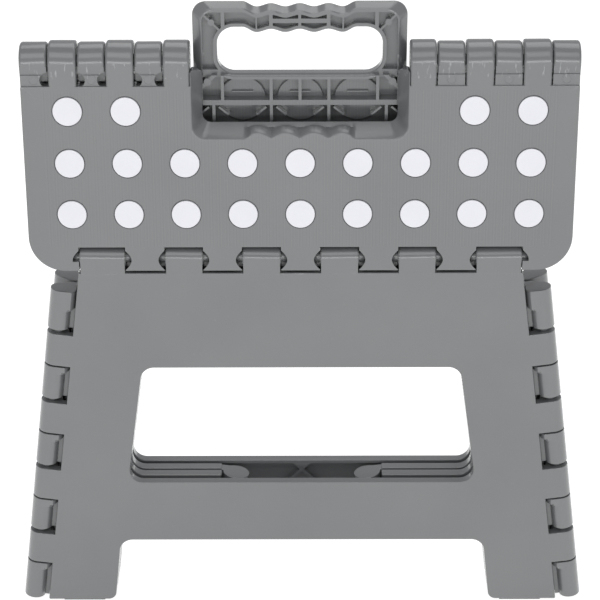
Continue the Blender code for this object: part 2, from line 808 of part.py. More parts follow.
def top_front():
    """The front half of the top."""
    body = top_plate((LIP_WIDTH, LIP_HIGH))
    right = TOP_HALF_WIDTH - WALL
    ribs = column_ribs() + row_ribs()
    low_region = top_region(-WALL, right, HINGE_STRIP, RIB_ROWS[1] - RIB / 2)
    high_region = top_region(LIP_WIDTH + 4 * MM, right, RIB_ROWS[1] + RIB / 2, TOP_HIGH - WALL)
    outlines = cells(low_region, ribs) + cells(high_region, ribs)
    cut(body, prism(outlines, -TOP_DEPTH - PAST, -SKIN, FLAT))
    cut(body, cutout_tool())
    cut(body, *hinge_cutters())
    cut(body, *dot_pockets(FRONT_DOTS))
    tidied(body)
    add_knuckles(body, FRONT_KNUCKLES, CENTRE_BARREL)
    axis = centre_axis()
    join(body, *[cone(CENTRE_PIN, CENTRE_PIN, low, high, axis, 8) for low, high in CENTRE_PINS])
    mirror(tidied(body))
    body.data.transform(TOP)
    body.name = "top_front"
    return body


def handle():
    """The carrying handle: a shallow channel with a grip opening and finger waves."""
    corners = rounded(
        [
            (-WALL, TOP_HIGH, 0),
            (HANDLE_WIDTH, TOP_HIGH, 0),
            (HANDLE_WIDTH, HANDLE_TOP, HANDLE_RADIUS),
            (-WALL, HANDLE_TOP, 0),
        ]
    )
    outline = corners[:-1] + wave_points(HANDLE_TOP, 1) + [(-WALL, HANDLE_TOP - wave(WALL))]
    body = prism([outline], -HANDLE_DEPTH, 0, FLAT)
    scale = (
        HANDLE_RIM_WIDTH / HANDLE_WIDTH,
        (HANDLE_RIM_TOP - TOP_HIGH) / (HANDLE_TOP - TOP_HIGH),
    )
    taper(body, FLAT, -HANDLE_DEPTH / 2, (0, TOP_HIGH), scale)
    cut(body, handle_hollow())
    return body


def grip_outline(outset):
    """The grip opening's edge, moved outwards by outset."""
    low, high = GRIP_LOW - outset, GRIP_HIGH + outset
    width, radius = GRIP_WIDTH + outset, GRIP_RADIUS + outset
    corners = rounded([(0, low, 0), (width, low, radius), (width, high, radius), (0, high, 0)], 5)
    return both_sides(corners[1:-1] + wave_points(high, 1))


def handle_hollow():
    """The hollow of the handle's underside, less its ribs."""
    rim = HANDLE_RIM_WIDTH - WALL / 2
    top = HANDLE_RIM_TOP - WALL
    radius = HANDLE_RADIUS - WALL
    low = GRIP_LOW + GRIP_RADIUS / 2
    corners = rounded([(0, low, 0), (rim, low, 0), (rim, top, radius), (0, top, 0)])
    outer = both_sides(corners[1:-1] + wave_points(top, 1))
    hollow = prism([outer], -HANDLE_DEPTH - PAST, -SKIN, FLAT)
    cut(hollow, prism([grip_outline(GRIP_RIM)], -HANDLE_DEPTH - 2 * PAST, 0, FLAT))
    reach = 9 * MM
    places = [((x, GRIP_HIGH + reach / 2), 90) for x in (0, WAVE_PITCH, 39 * MM)]
    places.append(((46.5 * MM, 126 * MM), 45))
    for (x, u), degrees in places:
        turn = Matrix.Translation((x, u, 0)) @ Matrix.Rotation(math.radians(degrees), 4, "Z")
        cut(hollow, box((-reach, -RIB / 2, -TOP_DEPTH), (reach, RIB / 2, 0), turn))
    return hollow


def top_rear():
    """The rear half of the top with the handle, drawn in the front half's place, then turned."""
    body = top_plate((HANDLE_WIDTH, GRIP_LOW))
    right = TOP_HALF_WIDTH - WALL
    row = RIB_ROWS[2]
    region = top_region(-WALL, right, HINGE_STRIP, row - RIB / 2)
    outlines = cells(region, column_ribs() + row_ribs()[:2])
    outer = top_region(HANDLE_WIDTH + WALL, right, row + RIB / 2, TOP_HIGH - WALL)
    outlines += cells(outer, column_ribs())
    middle = top_region(-WALL, HANDLE_WIDTH - WALL, row + RIB / 2, GRIP_LOW - GRIP_RIM)
    outlines += cells(middle, column_ribs((0.0, 15 * MM, 40 * MM)))
    cut(body, prism(outlines, -TOP_DEPTH - PAST, -SKIN, FLAT))
    cut(body, *hinge_cutters())
    cut(body, *dot_pockets(REAR_DOTS))
    join(body, handle())
    cut(body, prism([grip_outline(0)], -TOP_DEPTH - PAST, PAST, FLAT))
    tidied(body)
    add_knuckles(body, REAR_KNUCKLES, REAR_BARREL)
    bore_end = TOP_HALF_WIDTH + 2 * MM
    cut(body, cone(CENTRE_BORE, CENTRE_BORE, LIP_WIDTH, bore_end, centre_axis(), 8))
    mirror(tidied(body))
    body.data.transform(HALF_TURN @ TOP)
    cut(body, *relief_cutters())
    body.name = "top_rear"
    return tidied(body)


def relief_cutters():
    """Round reliefs in the lower corners of the rear knuckles on the left."""
    edges = (-129.6 * MM, -114.2 * MM, -100.0 * MM, -84.8 * MM, -70.6 * MM)
    height = TOP_HINGE + CENTRE_RISE - 6.2 * MM
    return [
        cone(4.2 * MM, 4.2 * MM, 5.5 * MM, 12 * MM, FACING @ Matrix.Translation((x, height, 0)), 10)
        for x in edges
    ]


def dots(prefix, rows, turn):
    """The anti-slip dots of one half, each its own insert."""
    made = []
    for row, (u, columns) in enumerate(zip(DOT_ROWS, rows), start=1):
        for column in columns:
            seat = turn @ TOP @ Matrix.Translation((DOT_PITCH * column, u, 0))
            dot = cone(DOT_RADIUS, DOT_RADIUS, -DOT_BOTTOM, DOT_PROUD, seat, 12)
            dot.name = f"{prefix}_dot_{row}_{column + 5}"
            made.append((dot, seat.translation))
    return made


def foot_pads(prefix, turn):
    """The two pads let into the feet of one leg."""
    made = []
    for side, label in ((-1, "left"), (1, "right")):
        centre = Matrix.Translation((side * (PAD_FROM + PAD_TO) / 2, -(PAD_NEAR + PAD_FAR) / 2, 0))
        half_x = (PAD_TO - PAD_FROM) / 2 - PAD_GAP
        half_y = (PAD_FAR - PAD_NEAR) / 2 - PAD_GAP
        pad = box((-half_x, -half_y, 0), (half_x, half_y, PAD_HEIGHT), turn @ centre)
        pad.name = f"{prefix}_foot_pad_{label}"
        made.append((pad, (turn @ centre).translation))
    return made


def material(name, colour, roughness):
    new = bpy.data.materials.new(name)
    new.use_nodes = True
    shader = new.node_tree.nodes["Principled BSDF"]
    shader.inputs["Base Color"].default_value = colour
    shader.inputs["Roughness"].default_value = roughness
    shader.inputs["Metallic"].default_value = 0.0
    return new


def finish(obj, origin, colour, roughness, collection):
    """Sets a part's origin, shading, material and collection."""
    origin = Vector(origin)
    obj.data.transform(Matrix.Translation(-origin))
    obj.location = origin
    obj.data.name = obj.name
    obj.data.shade_smooth()
    obj.data.set_sharp_from_angle(angle=math.radians(32))
    obj.data.materials.clear()
    obj.data.materials.append(material(obj.name, colour, roughness))
    for old in list(obj.users_collection):
        old.objects.unlink(obj)
    collection.objects.link(obj)


def build():
    clear_scene()
    collection = bpy.data.collections.new("step_stool")
    bpy.context.scene.collection.children.link(collection)
    pale, dark = [], []
    panels = []

    front_leg = leg_panel("front_leg")
    panels.append((front_leg, (0, 0, 0)))
    rear_leg = add_object("rear_leg", front_leg.data.copy())
    rear_leg.data.transform(HALF_TURN)
    panels.append((rear_leg, (0, HINGE_Y, TOP_HINGE)))
    panels.append((top_front(), (0, -HINGE_Y, TOP_HINGE)))
    panels.append((top_rear(), (0, 0, TOP_HINGE + CENTRE_RISE)))

    right_front = side_panel(FOLD_FRONT, FOLD_PINS)
    template = side_panel(FOLD_REAR, ())
    right_rear = reflected(template, (0, 1, 0))
    drop(template)
    edge_origin = Vector((AXIS_FLOOR, -HINGE_Y, 0))
    fold_origin = Vector((*edge_point(FOLD_REACH, 0), 0)).xzy
    for side, label in ((1, "right"), (-1, "left")):
        for obj, place, origin in ((right_front, "front", edge_origin), (right_rear, "rear", fold_origin)):
            panel = obj if side == 1 else reflected(obj, (1, 0, 0))
            panel.name = f"side_{label}_{place}"
            panels.append((panel, (side * origin.x, origin.y, origin.z)))

    for prefix, rows, turn in (
        ("top_front", FRONT_DOTS, Matrix.Identity(4)),
        ("top_rear", REAR_DOTS, HALF_TURN),
    ):
        pale += dots(prefix, rows, turn)
    for prefix, turn in (("front", Matrix.Identity(4)), ("rear", HALF_TURN)):
        dark += foot_pads(prefix, turn)

    for obj, origin in panels:
        finish(obj, origin, GREY, 0.5, collection)
    for obj, origin in pale:
        finish(obj, origin, PALE, 0.6, collection)
    for obj, origin in dark:
        finish(obj, origin, DARK, 0.8, collection)


build()
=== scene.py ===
"""Studio scene of the folding step stool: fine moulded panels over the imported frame."""

import math

import bmesh
import bpy
from mathutils import Matrix, Vector


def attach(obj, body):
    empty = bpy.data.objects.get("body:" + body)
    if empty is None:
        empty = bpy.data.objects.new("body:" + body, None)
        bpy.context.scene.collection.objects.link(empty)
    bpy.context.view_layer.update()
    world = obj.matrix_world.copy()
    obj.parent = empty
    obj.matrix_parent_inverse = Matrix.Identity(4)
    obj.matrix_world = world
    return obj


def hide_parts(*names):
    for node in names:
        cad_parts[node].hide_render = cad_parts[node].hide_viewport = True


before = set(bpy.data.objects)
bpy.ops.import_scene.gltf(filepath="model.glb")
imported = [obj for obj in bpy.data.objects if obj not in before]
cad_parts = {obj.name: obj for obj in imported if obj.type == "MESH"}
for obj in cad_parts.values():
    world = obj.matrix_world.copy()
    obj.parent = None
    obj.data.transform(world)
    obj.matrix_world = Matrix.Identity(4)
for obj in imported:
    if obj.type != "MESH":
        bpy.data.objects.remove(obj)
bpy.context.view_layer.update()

MM = 0.001

# Rounding of edges and of small corners; how far tools reach past and roots dip in
SOFT = 0.6 * MM
TRIM = 0.8 * MM
PAST = 1.0 * MM
DIP = 0.06 * MM

# Leg panel
EDGE_FLOOR = 160.2 * MM
EDGE_SLOPE = 0.1325
LEG_TOP = 205.7 * MM
LEG_FACE = 15.5 * MM
LEG_BACK = 10.0 * MM
FOOT_BOTTOM = 1.0 * MM
SKIN = 2.2 * MM
WALL = 2.0 * MM
RIB = 1.6 * MM
LEG_CROSSES = (-112 * MM, -56 * MM, 0.0, 56 * MM, 112 * MM)
RAIL_CROSS_DROP = 4.0 * MM
WINDOW_LOW = 77.9 * MM
WINDOW_HIGH = 149.4 * MM
WINDOW_FLOOR = 107.9 * MM
WINDOW_SLOPE = 0.1425
WINDOW_RADIUS = 7.5 * MM
ARCH_TOP = 40.5 * MM
ARCH_FLOOR = 107.1 * MM
ARCH_SLOPE = 0.113
ARCH_RADIUS = 7.5 * MM
FOOT_RADIUS = 4.5 * MM

# Hinges between the legs and the side panels
HINGE_Y = 9.5 * MM
BARREL = 6.0 * MM
EDGE_KNUCKLE = 19.0 * MM
EDGE_PITCH = 41.9 * MM
EDGE_START = 26.5 * MM
EDGE_KNUCKLES = 4
NOTCH_REACH = 8.5 * MM
GAP_BELOW = 2.4 * MM
GAP_ABOVE = 0.8 * MM
PIN = 2.4 * MM
BORE = 2.8 * MM
KNUCKLE_SOFT = 0.5 * MM
PIN_GRIP = 3.4 * MM
EDGE_BORE = (21 * MM, 178.4 * MM)

# Side panels
SIDE_NEAR = 0.9 * MM
SIDE_FAR = 6.7 * MM
SIDE_FOOT = 1.6 * MM
SIDE_TOP = 197.2 * MM
CAP = 8.2 * MM
CAP_FLAT = BARREL - 0.1 * MM
CAP_TALL = 10.5 * MM
CAP_SHORT = 3.0 * MM
CAP_SLOPE = 2.6 * MM
WEB_LOW = (4 * MM, -5.8 * MM)
WEB_HIGH = (8.1 * MM, 0.8 * MM)
SIDE_EDGE = 7.0 * MM
SIDE_END = 98.0 * MM
ARM_LOW = 41.0 * MM
FOLD_BARREL = 7.5 * MM
FOLD_PIN = 2.4 * MM
FOLD_BORE = 2.8 * MM
FOLD_FRONT = ((67.4 * MM, 78.8 * MM), (165.5 * MM, 175.8 * MM), (186.9 * MM, 196.8 * MM))
FOLD_REAR = ((55.8 * MM, 67.0 * MM), (79.2 * MM, 90.8 * MM), (176.2 * MM, 186.5 * MM))
FOLD_PINS = ((63.4 * MM, 82.8 * MM), (170.0 * MM, 179.8 * MM), (182.9 * MM, 192.0 * MM))
FOLD_BORES = ((62.5 * MM, 83.8 * MM), (175 * MM, 188 * MM))

# Hinges between the legs and the top
TOP_HINGE = 213.0 * MM
TABS = ((20.7 * MM, 19.8 * MM), (61.9 * MM, 19.5 * MM), (105.3 * MM, 23.8 * MM))
TAB_GAP = 0.5 * MM
TAB_SOFT = 0.45 * MM
RECESS_MOUTH = 8.1 * MM
RECESS_THROAT = 5.9 * MM
RECESS_DEPTH = 3.4 * MM
RECESS_FLOOR = 7.4 * MM
CORNER_RECESS_LOW = -0.8 * MM
SOCKET_THROAT = 2.8 * MM
SOCKET_MOUTH = 3.5 * MM
SOCKET_DEPTH = 3.4 * MM
DISC = 5.2 * MM
DISC_RISE = 0.35 * MM
STUD_ROOT = 3.0 * MM
STUD = 5.2 * MM
STUD_BULGE = 4.0 * MM

# Top
CENTRE_RISE = 106.2 * MM
CENTRE_BARREL = 10.5 * MM
REAR_BARREL = 9.7 * MM
TOP_HALF_WIDTH = 143.7 * MM
TOP_DEPTH = 9.8 * MM
TOP_LOW = -6.1 * MM
TOP_HIGH = 95.4 * MM
TOP_CORNER = 19.0 * MM
NOTCH_HIGH = 7.4 * MM
HINGE_STRIP = 11.0 * MM
FRONT_KNUCKLES = ((56.5 * MM, 70.2 * MM), (85.2 * MM, 99.6 * MM), (114.6 * MM, 129.2 * MM))
REAR_KNUCKLES = ((70.6 * MM, 84.8 * MM), (100.0 * MM, 114.2 * MM), (129.6 * MM, 144.0 * MM))
CENTRE_PINS = ((60.0 * MM, 74.6 * MM), (80.8 * MM, 103.8 * MM), (110.2 * MM, 133.6 * MM))
CENTRE_PIN = 2.8 * MM
CENTRE_BORE = 3.2 * MM
CRADLE = 11.05 * MM
CRADLE_GAP = 0.15 * MM
EJECTOR_MARK = (
    (2.7 * MM, -2 * MM),
    (2.7 * MM, -0.72 * MM),
    (2.2 * MM, -0.7 * MM),
    (2.1 * MM, -0.83 * MM),
)
APRON = 10.98 * MM
RELIEF = 4.0 * MM
RELIEF_U = 98.5 * MM
RELIEF_EDGES = (-129.6 * MM, -114.2 * MM, -100.0 * MM, -84.8 * MM, -70.6 * MM)
RELIEF_DROP = 7.6 * MM
RIB_COLUMNS = (15.0 * MM, 45.0 * MM, 75.0 * MM, 105.0 * MM, 135.0 * MM)
RIB_ROWS = (28.8 * MM, 56.9 * MM, 82.2 * MM)

# Cut-out, handle and finger waves
WAVE_PITCH = 14.8 * MM
WAVE_COUNT = 4
WAVE_DEPTH = 2.9 * MM
WAVE_CREST = 1.2 * MM
SCALLOP_DEPTH = 1.15 * WAVE_DEPTH
CUTOUT_WIDTH = 56.1 * MM
CUTOUT_LOW = 66.9 * MM
CUTOUT_TAPER = 0.694
CUTOUT_SIDE_TAPER = 0.561
CUTOUT_RADIUS = 8.0 * MM
CUTOUT_RADIUS_TAPER = 0.36
CUTOUT_HIGH = 130 * MM
LIP_WIDTH = 56.5 * MM
LIP_HIGH = 104.5 * MM
HANDLE_WIDTH = 55.5 * MM
HANDLE_TOP = 134.8 * MM
HANDLE_DEPTH = 6.2 * MM
HANDLE_UPRIGHT = 1.6 * MM
HANDLE_RADIUS = 7.0 * MM
HANDLE_RIM_WIDTH = 51.5 * MM
HANDLE_RIM_TOP = 132.6 * MM
GRIP_WIDTH = 42.8 * MM
GRIP_LOW = 97.4 * MM
GRIP_HIGH = 122.6 * MM
GRIP_RADIUS = 9.0 * MM
GRIP_RIM = 2.0 * MM

# Straight ribs and webs: place, angle in degrees, width and half length
HANDLE_RIBS = (
    ((0, 127.5 * MM), 90, 1.5 * MM, 9 * MM),
    ((14.8 * MM, 127.5 * MM), 90, 1.9 * MM, 9 * MM),
    ((22.3 * MM, 127.5 * MM), 90, 0.8 * MM, 9 * MM),
    ((39.6 * MM, 127.5 * MM), 90, 1.9 * MM, 9 * MM),
    ((44.9 * MM, 124.5 * MM), 45, 1.0 * MM, 10 * MM),
    ((46.3 * MM, 125.9 * MM), 45, 1.0 * MM, 10 * MM),
    ((0, 126.0 * MM), 0, 2.3 * MM, 14.8 * MM),
)
CORNER_WEBS = (
    ((48.0 * MM, 93.8 * MM), -45, 2.0 * MM, 8 * MM),
    ((50.2 * MM, 77.6 * MM), -40, 1.0 * MM, 3.4 * MM),
    ((39.8 * MM, 77.6 * MM), 40, 1.0 * MM, 3.4 * MM),
    ((20.2 * MM, 77.6 * MM), -40, 1.0 * MM, 3.4 * MM),
    ((9.8 * MM, 77.6 * MM), 40, 1.0 * MM, 3.4 * MM),
)
CORNER_WEB_LOW = -9 * MM
CORNER_PIP_RADIUS = 2.0 * MM
HANDLE_PIP = (45.6 * MM, 125.2 * MM)
HANDLE_PIP_RADIUS = 1.7 * MM
REAR_ROW = 82.6 * MM
REAR_ROW_RIB = 2.8 * MM
BOSS = 12.3 * MM
BOSS_DEPTH = 3.8 * MM
BOSS_LINE = ((-5.5 * MM, 86.6 * MM, -5.2 * MM), (5.5 * MM, 87.3 * MM, 0))

# Anti-slip dots
DOT_RADIUS = 7.6 * MM
DOT_POCKET = 8.0 * MM
DOT_POCKET_DEPTH = 1.4 * MM
DOT_BOTTOM = 1.1 * MM
DOT_PROUD = 0.5 * MM
DOT_ROWS = (82.1 * MM, 53.95 * MM, 25.85 * MM)
DOT_PITCH = 30.0 * MM
FULL_ROW = (-4, -3, -2, -1, 0, 1, 2, 3, 4)
FRONT_DOTS = ((-4, -3, 3, 4), FULL_ROW, FULL_ROW)
REAR_DOTS = ((-4, -3, -1, 0, 1, 3, 4), FULL_ROW, FULL_ROW)

# Foot pads
PAD_FROM = 113.0 * MM
PAD_TO = 137.0 * MM
PAD_NEAR = 10.9 * MM
PAD_FAR = 14.6 * MM
PAD_HEIGHT = 3.7 * MM
PAD_GAP = 0.3 * MM

# Marks on the top's outer face
LINE_PITCHES = (1.24 * MM, 1.75 * MM)
LINE_CONTRAST = 0.09
LINED_HALF_WIDTH = 133 * MM
LINED_HEIGHTS = (221 * MM, 306 * MM)
RUBBED_HEIGHTS = (312.5 * MM, 320.5 * MM)

# Colours
GREYS = ((0.139, 0.143, 0.146), (0.158, 0.161, 0.163))
RUBBED = (0.36, 0.37, 0.38)
PALES = ((0.70, 0.70, 0.735), (0.75, 0.75, 0.785))
DARKS = ((0.045, 0.05, 0.055), (0.08, 0.085, 0.09))

# Studio
LAMP_AIM = (0, 0, 0.2)
CAMERA_PLACE = (0.00504, -0.99076, 0.63856)
CAMERA_TURNS = (24.7, -0.32, 0.26)

# Worked out from the above
SLANT = math.atan(EDGE_SLOPE)
FOLD_REACH = CENTRE_RISE
AXIS_FLOOR = EDGE_FLOOR - BARREL / math.cos(SLANT)
HINGE_SPAN = math.hypot(CENTRE_RISE, HINGE_Y)
CENTRE_DEPTH = CENTRE_BARREL
CENTRE_U = math.sqrt(HINGE_SPAN**2 - (CENTRE_BARREL - BARREL) ** 2)
LEAN = math.atan2(HINGE_Y, CENTRE_RISE) - math.asin((CENTRE_BARREL - BARREL) / HINGE_SPAN)


def frame_from(origin, x_axis, y_axis):
    """A placement from an origin and two axes."""
    x_axis, y_axis = Vector(x_axis), Vector(y_axis)
    columns = Matrix((x_axis, y_axis, x_axis.cross(y_axis))).transposed()
    return Matrix.Translation(origin) @ columns.to_4x4()


FACING = frame_from((0, 0, 0), (1, 0, 0), (0, 0, 1))
EDGE = frame_from(
    (AXIS_FLOOR, -HINGE_Y, 0),
    (-math.cos(SLANT), 0, -math.sin(SLANT)),
    (0, -1, 0),
)
TOP = frame_from(
    (0, -HINGE_Y - BARREL * math.cos(LEAN), TOP_HINGE + BARREL * math.sin(LEAN)),
    (1, 0, 0),
    (0, math.sin(LEAN), math.cos(LEAN)),
)
FLAT = Matrix.Identity(4)
SECTION = frame_from((0, 0, 0), (0, 1, 0), (0, 0, 1))
HALF_TURN = Matrix.Rotation(math.pi, 4, "Z")


def edge_point(inwards, along):
    """The point at a distance inside the leg hinge axis and a length along it."""
    x = AXIS_FLOOR - along * math.sin(SLANT) - inwards * math.cos(SLANT)
    return x, along * math.cos(SLANT) - inwards * math.sin(SLANT)


def edge_x(inwards, z):
    """Where the line at a distance inside the leg hinge axis stands at a height."""
    return AXIS_FLOOR - EDGE_SLOPE * z - inwards / math.cos(SLANT)


def window_x(z):
    return WINDOW_FLOOR - WINDOW_SLOPE * z


def arch_x(z):
    return ARCH_FLOOR - ARCH_SLOPE * z


def arc(centre, radius, start, sweep, steps):
    angles = [math.radians(start + sweep * i / steps) for i in range(steps + 1)]
    return [(centre[0] + radius * math.cos(a), centre[1] + radius * math.sin(a)) for a in angles]


def rounded(corners, steps=10):
    """An outline's points from corners of x, y and radius."""
    points = []
    for i, (x, y, radius) in enumerate(corners):
        here = Vector((x, y))
        if not radius:
            points.append((x, y))
            continue
        back = (Vector(corners[i - 1][:2]) - here).normalized()
        ahead = (Vector(corners[(i + 1) % len(corners)][:2]) - here).normalized()
        half = back.angle(ahead) / 2
        centre = here + (back + ahead).normalized() * radius / math.sin(half)
        first = here + back * radius / math.tan(half) - centre
        last = here + ahead * radius / math.tan(half) - centre
        start = math.degrees(math.atan2(first.y, first.x))
        sweep = math.degrees(math.atan2(last.y, last.x)) - start
        sweep = (sweep + 180) % 360 - 180
        points += arc(centre, radius, start, sweep, steps)
    return points


def both_sides(points):
    """An outline from its right half."""
    return points + [(-x, y) for x, y in reversed(points)]


def completed(half):
    """An outline from its right half, which ends on the middle line."""
    return half + [(-x, y) for x, y in reversed(half[:-1])]


def wave(x):
    """How far the finger waves dip at x."""
    if abs(x) >= WAVE_PITCH * WAVE_COUNT / 2:
        return 0.0
    dip = math.sin(math.pi * x / WAVE_PITCH) ** 2
    if abs(x) > WAVE_PITCH * (WAVE_COUNT - 1) / 2:
        return WAVE_DEPTH * dip
    return WAVE_CREST + (WAVE_DEPTH - WAVE_CREST) * dip


def scallop(x):
    """The cut-out's waves: round crests with cusps between them."""
    if abs(x) >= WAVE_PITCH * WAVE_COUNT / 2:
        return 0.0
    rise = abs(math.sin(math.pi * x / WAVE_PITCH))
    if abs(x) > WAVE_PITCH * (WAVE_COUNT - 0.5) / 2:
        return SCALLOP_DEPTH * rise**1.6
    if abs(x) > WAVE_PITCH * (WAVE_COUNT - 1) / 2:
        return SCALLOP_DEPTH * rise
    return WAVE_CREST / 2 + (SCALLOP_DEPTH - WAVE_CREST / 2) * rise


def wave_xs(steps):
    """Where the waves are sampled, from their right end to the middle."""
    count = WAVE_COUNT * steps
    return [WAVE_PITCH / 2 * (count - i) / steps for i in range(count + 1)]


def wave_points(height):
    return [(x, height - wave(x)) for x in wave_xs(9)]


def add_object(name, mesh):
    obj = bpy.data.objects.new(name, mesh)
    bpy.context.scene.collection.objects.link(obj)
    return obj


def drop(obj):
    bpy.data.objects.remove(obj, do_unlink=True)


def evaluated_mesh(obj):
    bpy.context.view_layer.update()
    depsgraph = bpy.context.evaluated_depsgraph_get()
    return bpy.data.meshes.new_from_object(obj.evaluated_get(depsgraph))


def bake(obj):
    """Applies an object's modifiers."""
    mesh = evaluated_mesh(obj)
    obj.modifiers.clear()
    obj.data = mesh


def snap(bm):
    """Rounds vertex places, so that booleans give the same result on each run."""
    for vertex in bm.verts:
        vertex.co = [round(value, 7) for value in vertex.co]


def prism(outlines, low, high, placed, soft=0.0, steps=1):
    """A solid with the given closed outlines between two depths, its end edges rounded by soft."""
    curve = bpy.data.curves.new("outline", "CURVE")
    curve.dimensions = "2D"
    curve.fill_mode = "BOTH"
    curve.extrude = (high - low) / 2 - soft
    curve.bevel_depth = soft
    curve.bevel_resolution = steps
    curve.offset = -soft
    for outline in outlines:
        spline = curve.splines.new("POLY")
        spline.points.add(len(outline) - 1)
        for point, (x, y) in zip(spline.points, outline):
            point.co = (x, y, 0, 1)
        spline.use_cyclic_u = True
    flat = add_object("outline", curve)
    mesh = evaluated_mesh(flat)
    drop(flat)
    bm = bmesh.new()
    bm.from_mesh(mesh)
    bmesh.ops.remove_doubles(bm, verts=bm.verts, dist=1e-6)
    bmesh.ops.recalc_face_normals(bm, faces=bm.faces)
    bm.transform(placed @ Matrix.Translation((0, 0, (low + high) / 2)))
    snap(bm)
    bm.to_mesh(mesh)
    bm.free()
    return add_object("prism", mesh)


def loft(rings, placed):
    """A closed solid through rings of points with the same count."""
    bm = bmesh.new()
    made = [[bm.verts.new(point) for point in ring] for ring in rings]
    for lower, upper in zip(made, made[1:]):
        for i in range(len(lower)):
            bm.faces.new((lower[i - 1], lower[i], upper[i], upper[i - 1]))
    bm.faces.new(made[0])
    bm.faces.new(list(reversed(made[-1])))
    bmesh.ops.recalc_face_normals(bm, faces=bm.faces)
    if bm.calc_volume(signed=True) < 0:
        bmesh.ops.reverse_faces(bm, faces=bm.faces)
    bm.transform(placed)
    snap(bm)
    mesh = bpy.data.meshes.new("loft")
    bm.to_mesh(mesh)
    bm.free()
    return add_object("loft", mesh)


def turned(profile, placed, segments=32):
    """A solid turned round the frame's z axis from a profile of radius and height."""
    rings = []
    for radius, height in profile:
        angles = [2 * math.pi * (i + 0.5) / segments for i in range(segments)]
        rings.append([(radius * math.cos(a), radius * math.sin(a), height) for a in angles])
    return loft(rings, placed)


def rod(radius, low, high, placed, segments=20):
    """A plain round pin, or the tool for a bore."""
    return turned([(radius, low), (radius, high)], placed, segments)


def dome(radius, low, high, bulge, steps=5):
    """Profile of a stud with a round end at its high side."""
    points = [(radius, low), (radius, high - bulge)]
    for i in range(1, steps + 1):
        angle = math.pi / 2 * i / (steps + 0.4)
        points.append((radius * math.cos(angle), high - bulge + bulge * math.sin(angle)))
    return points


def box(low, high, placed, soft=0.0):
    outline = [(low[0], low[1]), (high[0], low[1]), (high[0], high[1]), (low[0], high[1])]
    return prism([outline], low[2], high[2], placed, soft)


def gathered(tools):
    """Tools that don't touch each other, as one tool."""
    bm = bmesh.new()
    for tool in tools:
        bm.from_mesh(tool.data)
        drop(tool)
    mesh = bpy.data.meshes.new("tools")
    bm.to_mesh(mesh)
    bm.free()
    return add_object("tools", mesh)


def combine(body, tools, operation):
    """Applies booleans with the tools one by one, and drops them."""
    for tool in tools:
        modifier = body.modifiers.new("combine", "BOOLEAN")
        modifier.operation = operation
        modifier.solver = "EXACT"
        modifier.object = tool
        bake(body)
        drop(tool)
    return body


def join(body, *tools):
    return combine(body, tools, "UNION")


def cut(body, *tools):
    return combine(body, tools, "DIFFERENCE")


def tidied(obj):
    """Merges doubled vertices and triangulates."""
    bm = bmesh.new()
    bm.from_mesh(obj.data)
    bmesh.ops.remove_doubles(bm, verts=bm.verts, dist=1e-6)
    bmesh.ops.triangulate(bm, faces=bm.faces)
    bm.to_mesh(obj.data)
    bm.free()
    return obj


def mirror(obj):
    """Keeps the right half and its mirror image."""
    modifier = obj.modifiers.new("mirror", "MIRROR")
    modifier.use_axis = (True, False, False)
    modifier.use_bisect_axis = (True, False, False)
    modifier.bisect_threshold = 0.000001
    modifier.merge_threshold = 0.00001
    bake(obj)
    return obj


def reflected(obj, axis):
    bm = bmesh.new()
    bm.from_mesh(obj.data)
    bm.transform(Matrix.Scale(-1, 4, axis))
    bmesh.ops.reverse_faces(bm, faces=bm.faces)
    mesh = bpy.data.meshes.new("reflected")
    bm.to_mesh(mesh)
    bm.free()
    return add_object("reflected", mesh)


def clipped(polygon, point, normal):
    """The part of a convex polygon behind the line through a point."""
    kept = []
    for i, here in enumerate(polygon):
        before = polygon[i - 1]
        side_here = (here - point).dot(normal)
        side_before = (before - point).dot(normal)
        if side_here * side_before < 0:
            kept.append(before.lerp(here, side_before / (side_before - side_here)))
        if side_here <= 0:
            kept.append(here)
    return kept


def area(polygon):
    return abs(sum(polygon[i - 1].cross(polygon[i]) for i in range(len(polygon)))) / 2


def cells(region, ribs, smallest=12 * MM * MM):
    """A convex region divided by straight ribs, each a point and an angle in degrees."""
    pieces = [[Vector(point) for point in region]]
    for point, degrees in ribs:
        normal = Vector((-math.sin(math.radians(degrees)), math.cos(math.radians(degrees))))
        divided = []
        for piece in pieces:
            for side in (1, -1):
                edge = Vector(point) + normal * side * RIB / 2
                part = clipped(piece, edge, -normal * side)
                if len(part) > 2 and area(part) > smallest:
                    divided.append(part)
        pieces = divided
    return pieces


def crossed(xs, z, degrees=45):
    """Two crossing ribs at each x."""
    return [((x, z), angle) for x in xs for angle in (degrees, -degrees)]


def knuckle_section(reach):
    """A leg's hinge knuckle: a barrel with a root that runs into the panel."""
    back = LEG_BACK - HINGE_Y
    meet = math.degrees(math.asin(back / BARREL))
    roll = arc((0, 0), BARREL, 90, 270 + meet, 30)
    return [(reach, LEG_FACE - HINGE_Y - DIP)] + roll + [(reach, back + DIP)]


def edge_knuckles():
    starts = [EDGE_START + EDGE_PITCH * i for i in range(EDGE_KNUCKLES)]
    return [(start, start + EDGE_KNUCKLE) for start in starts]


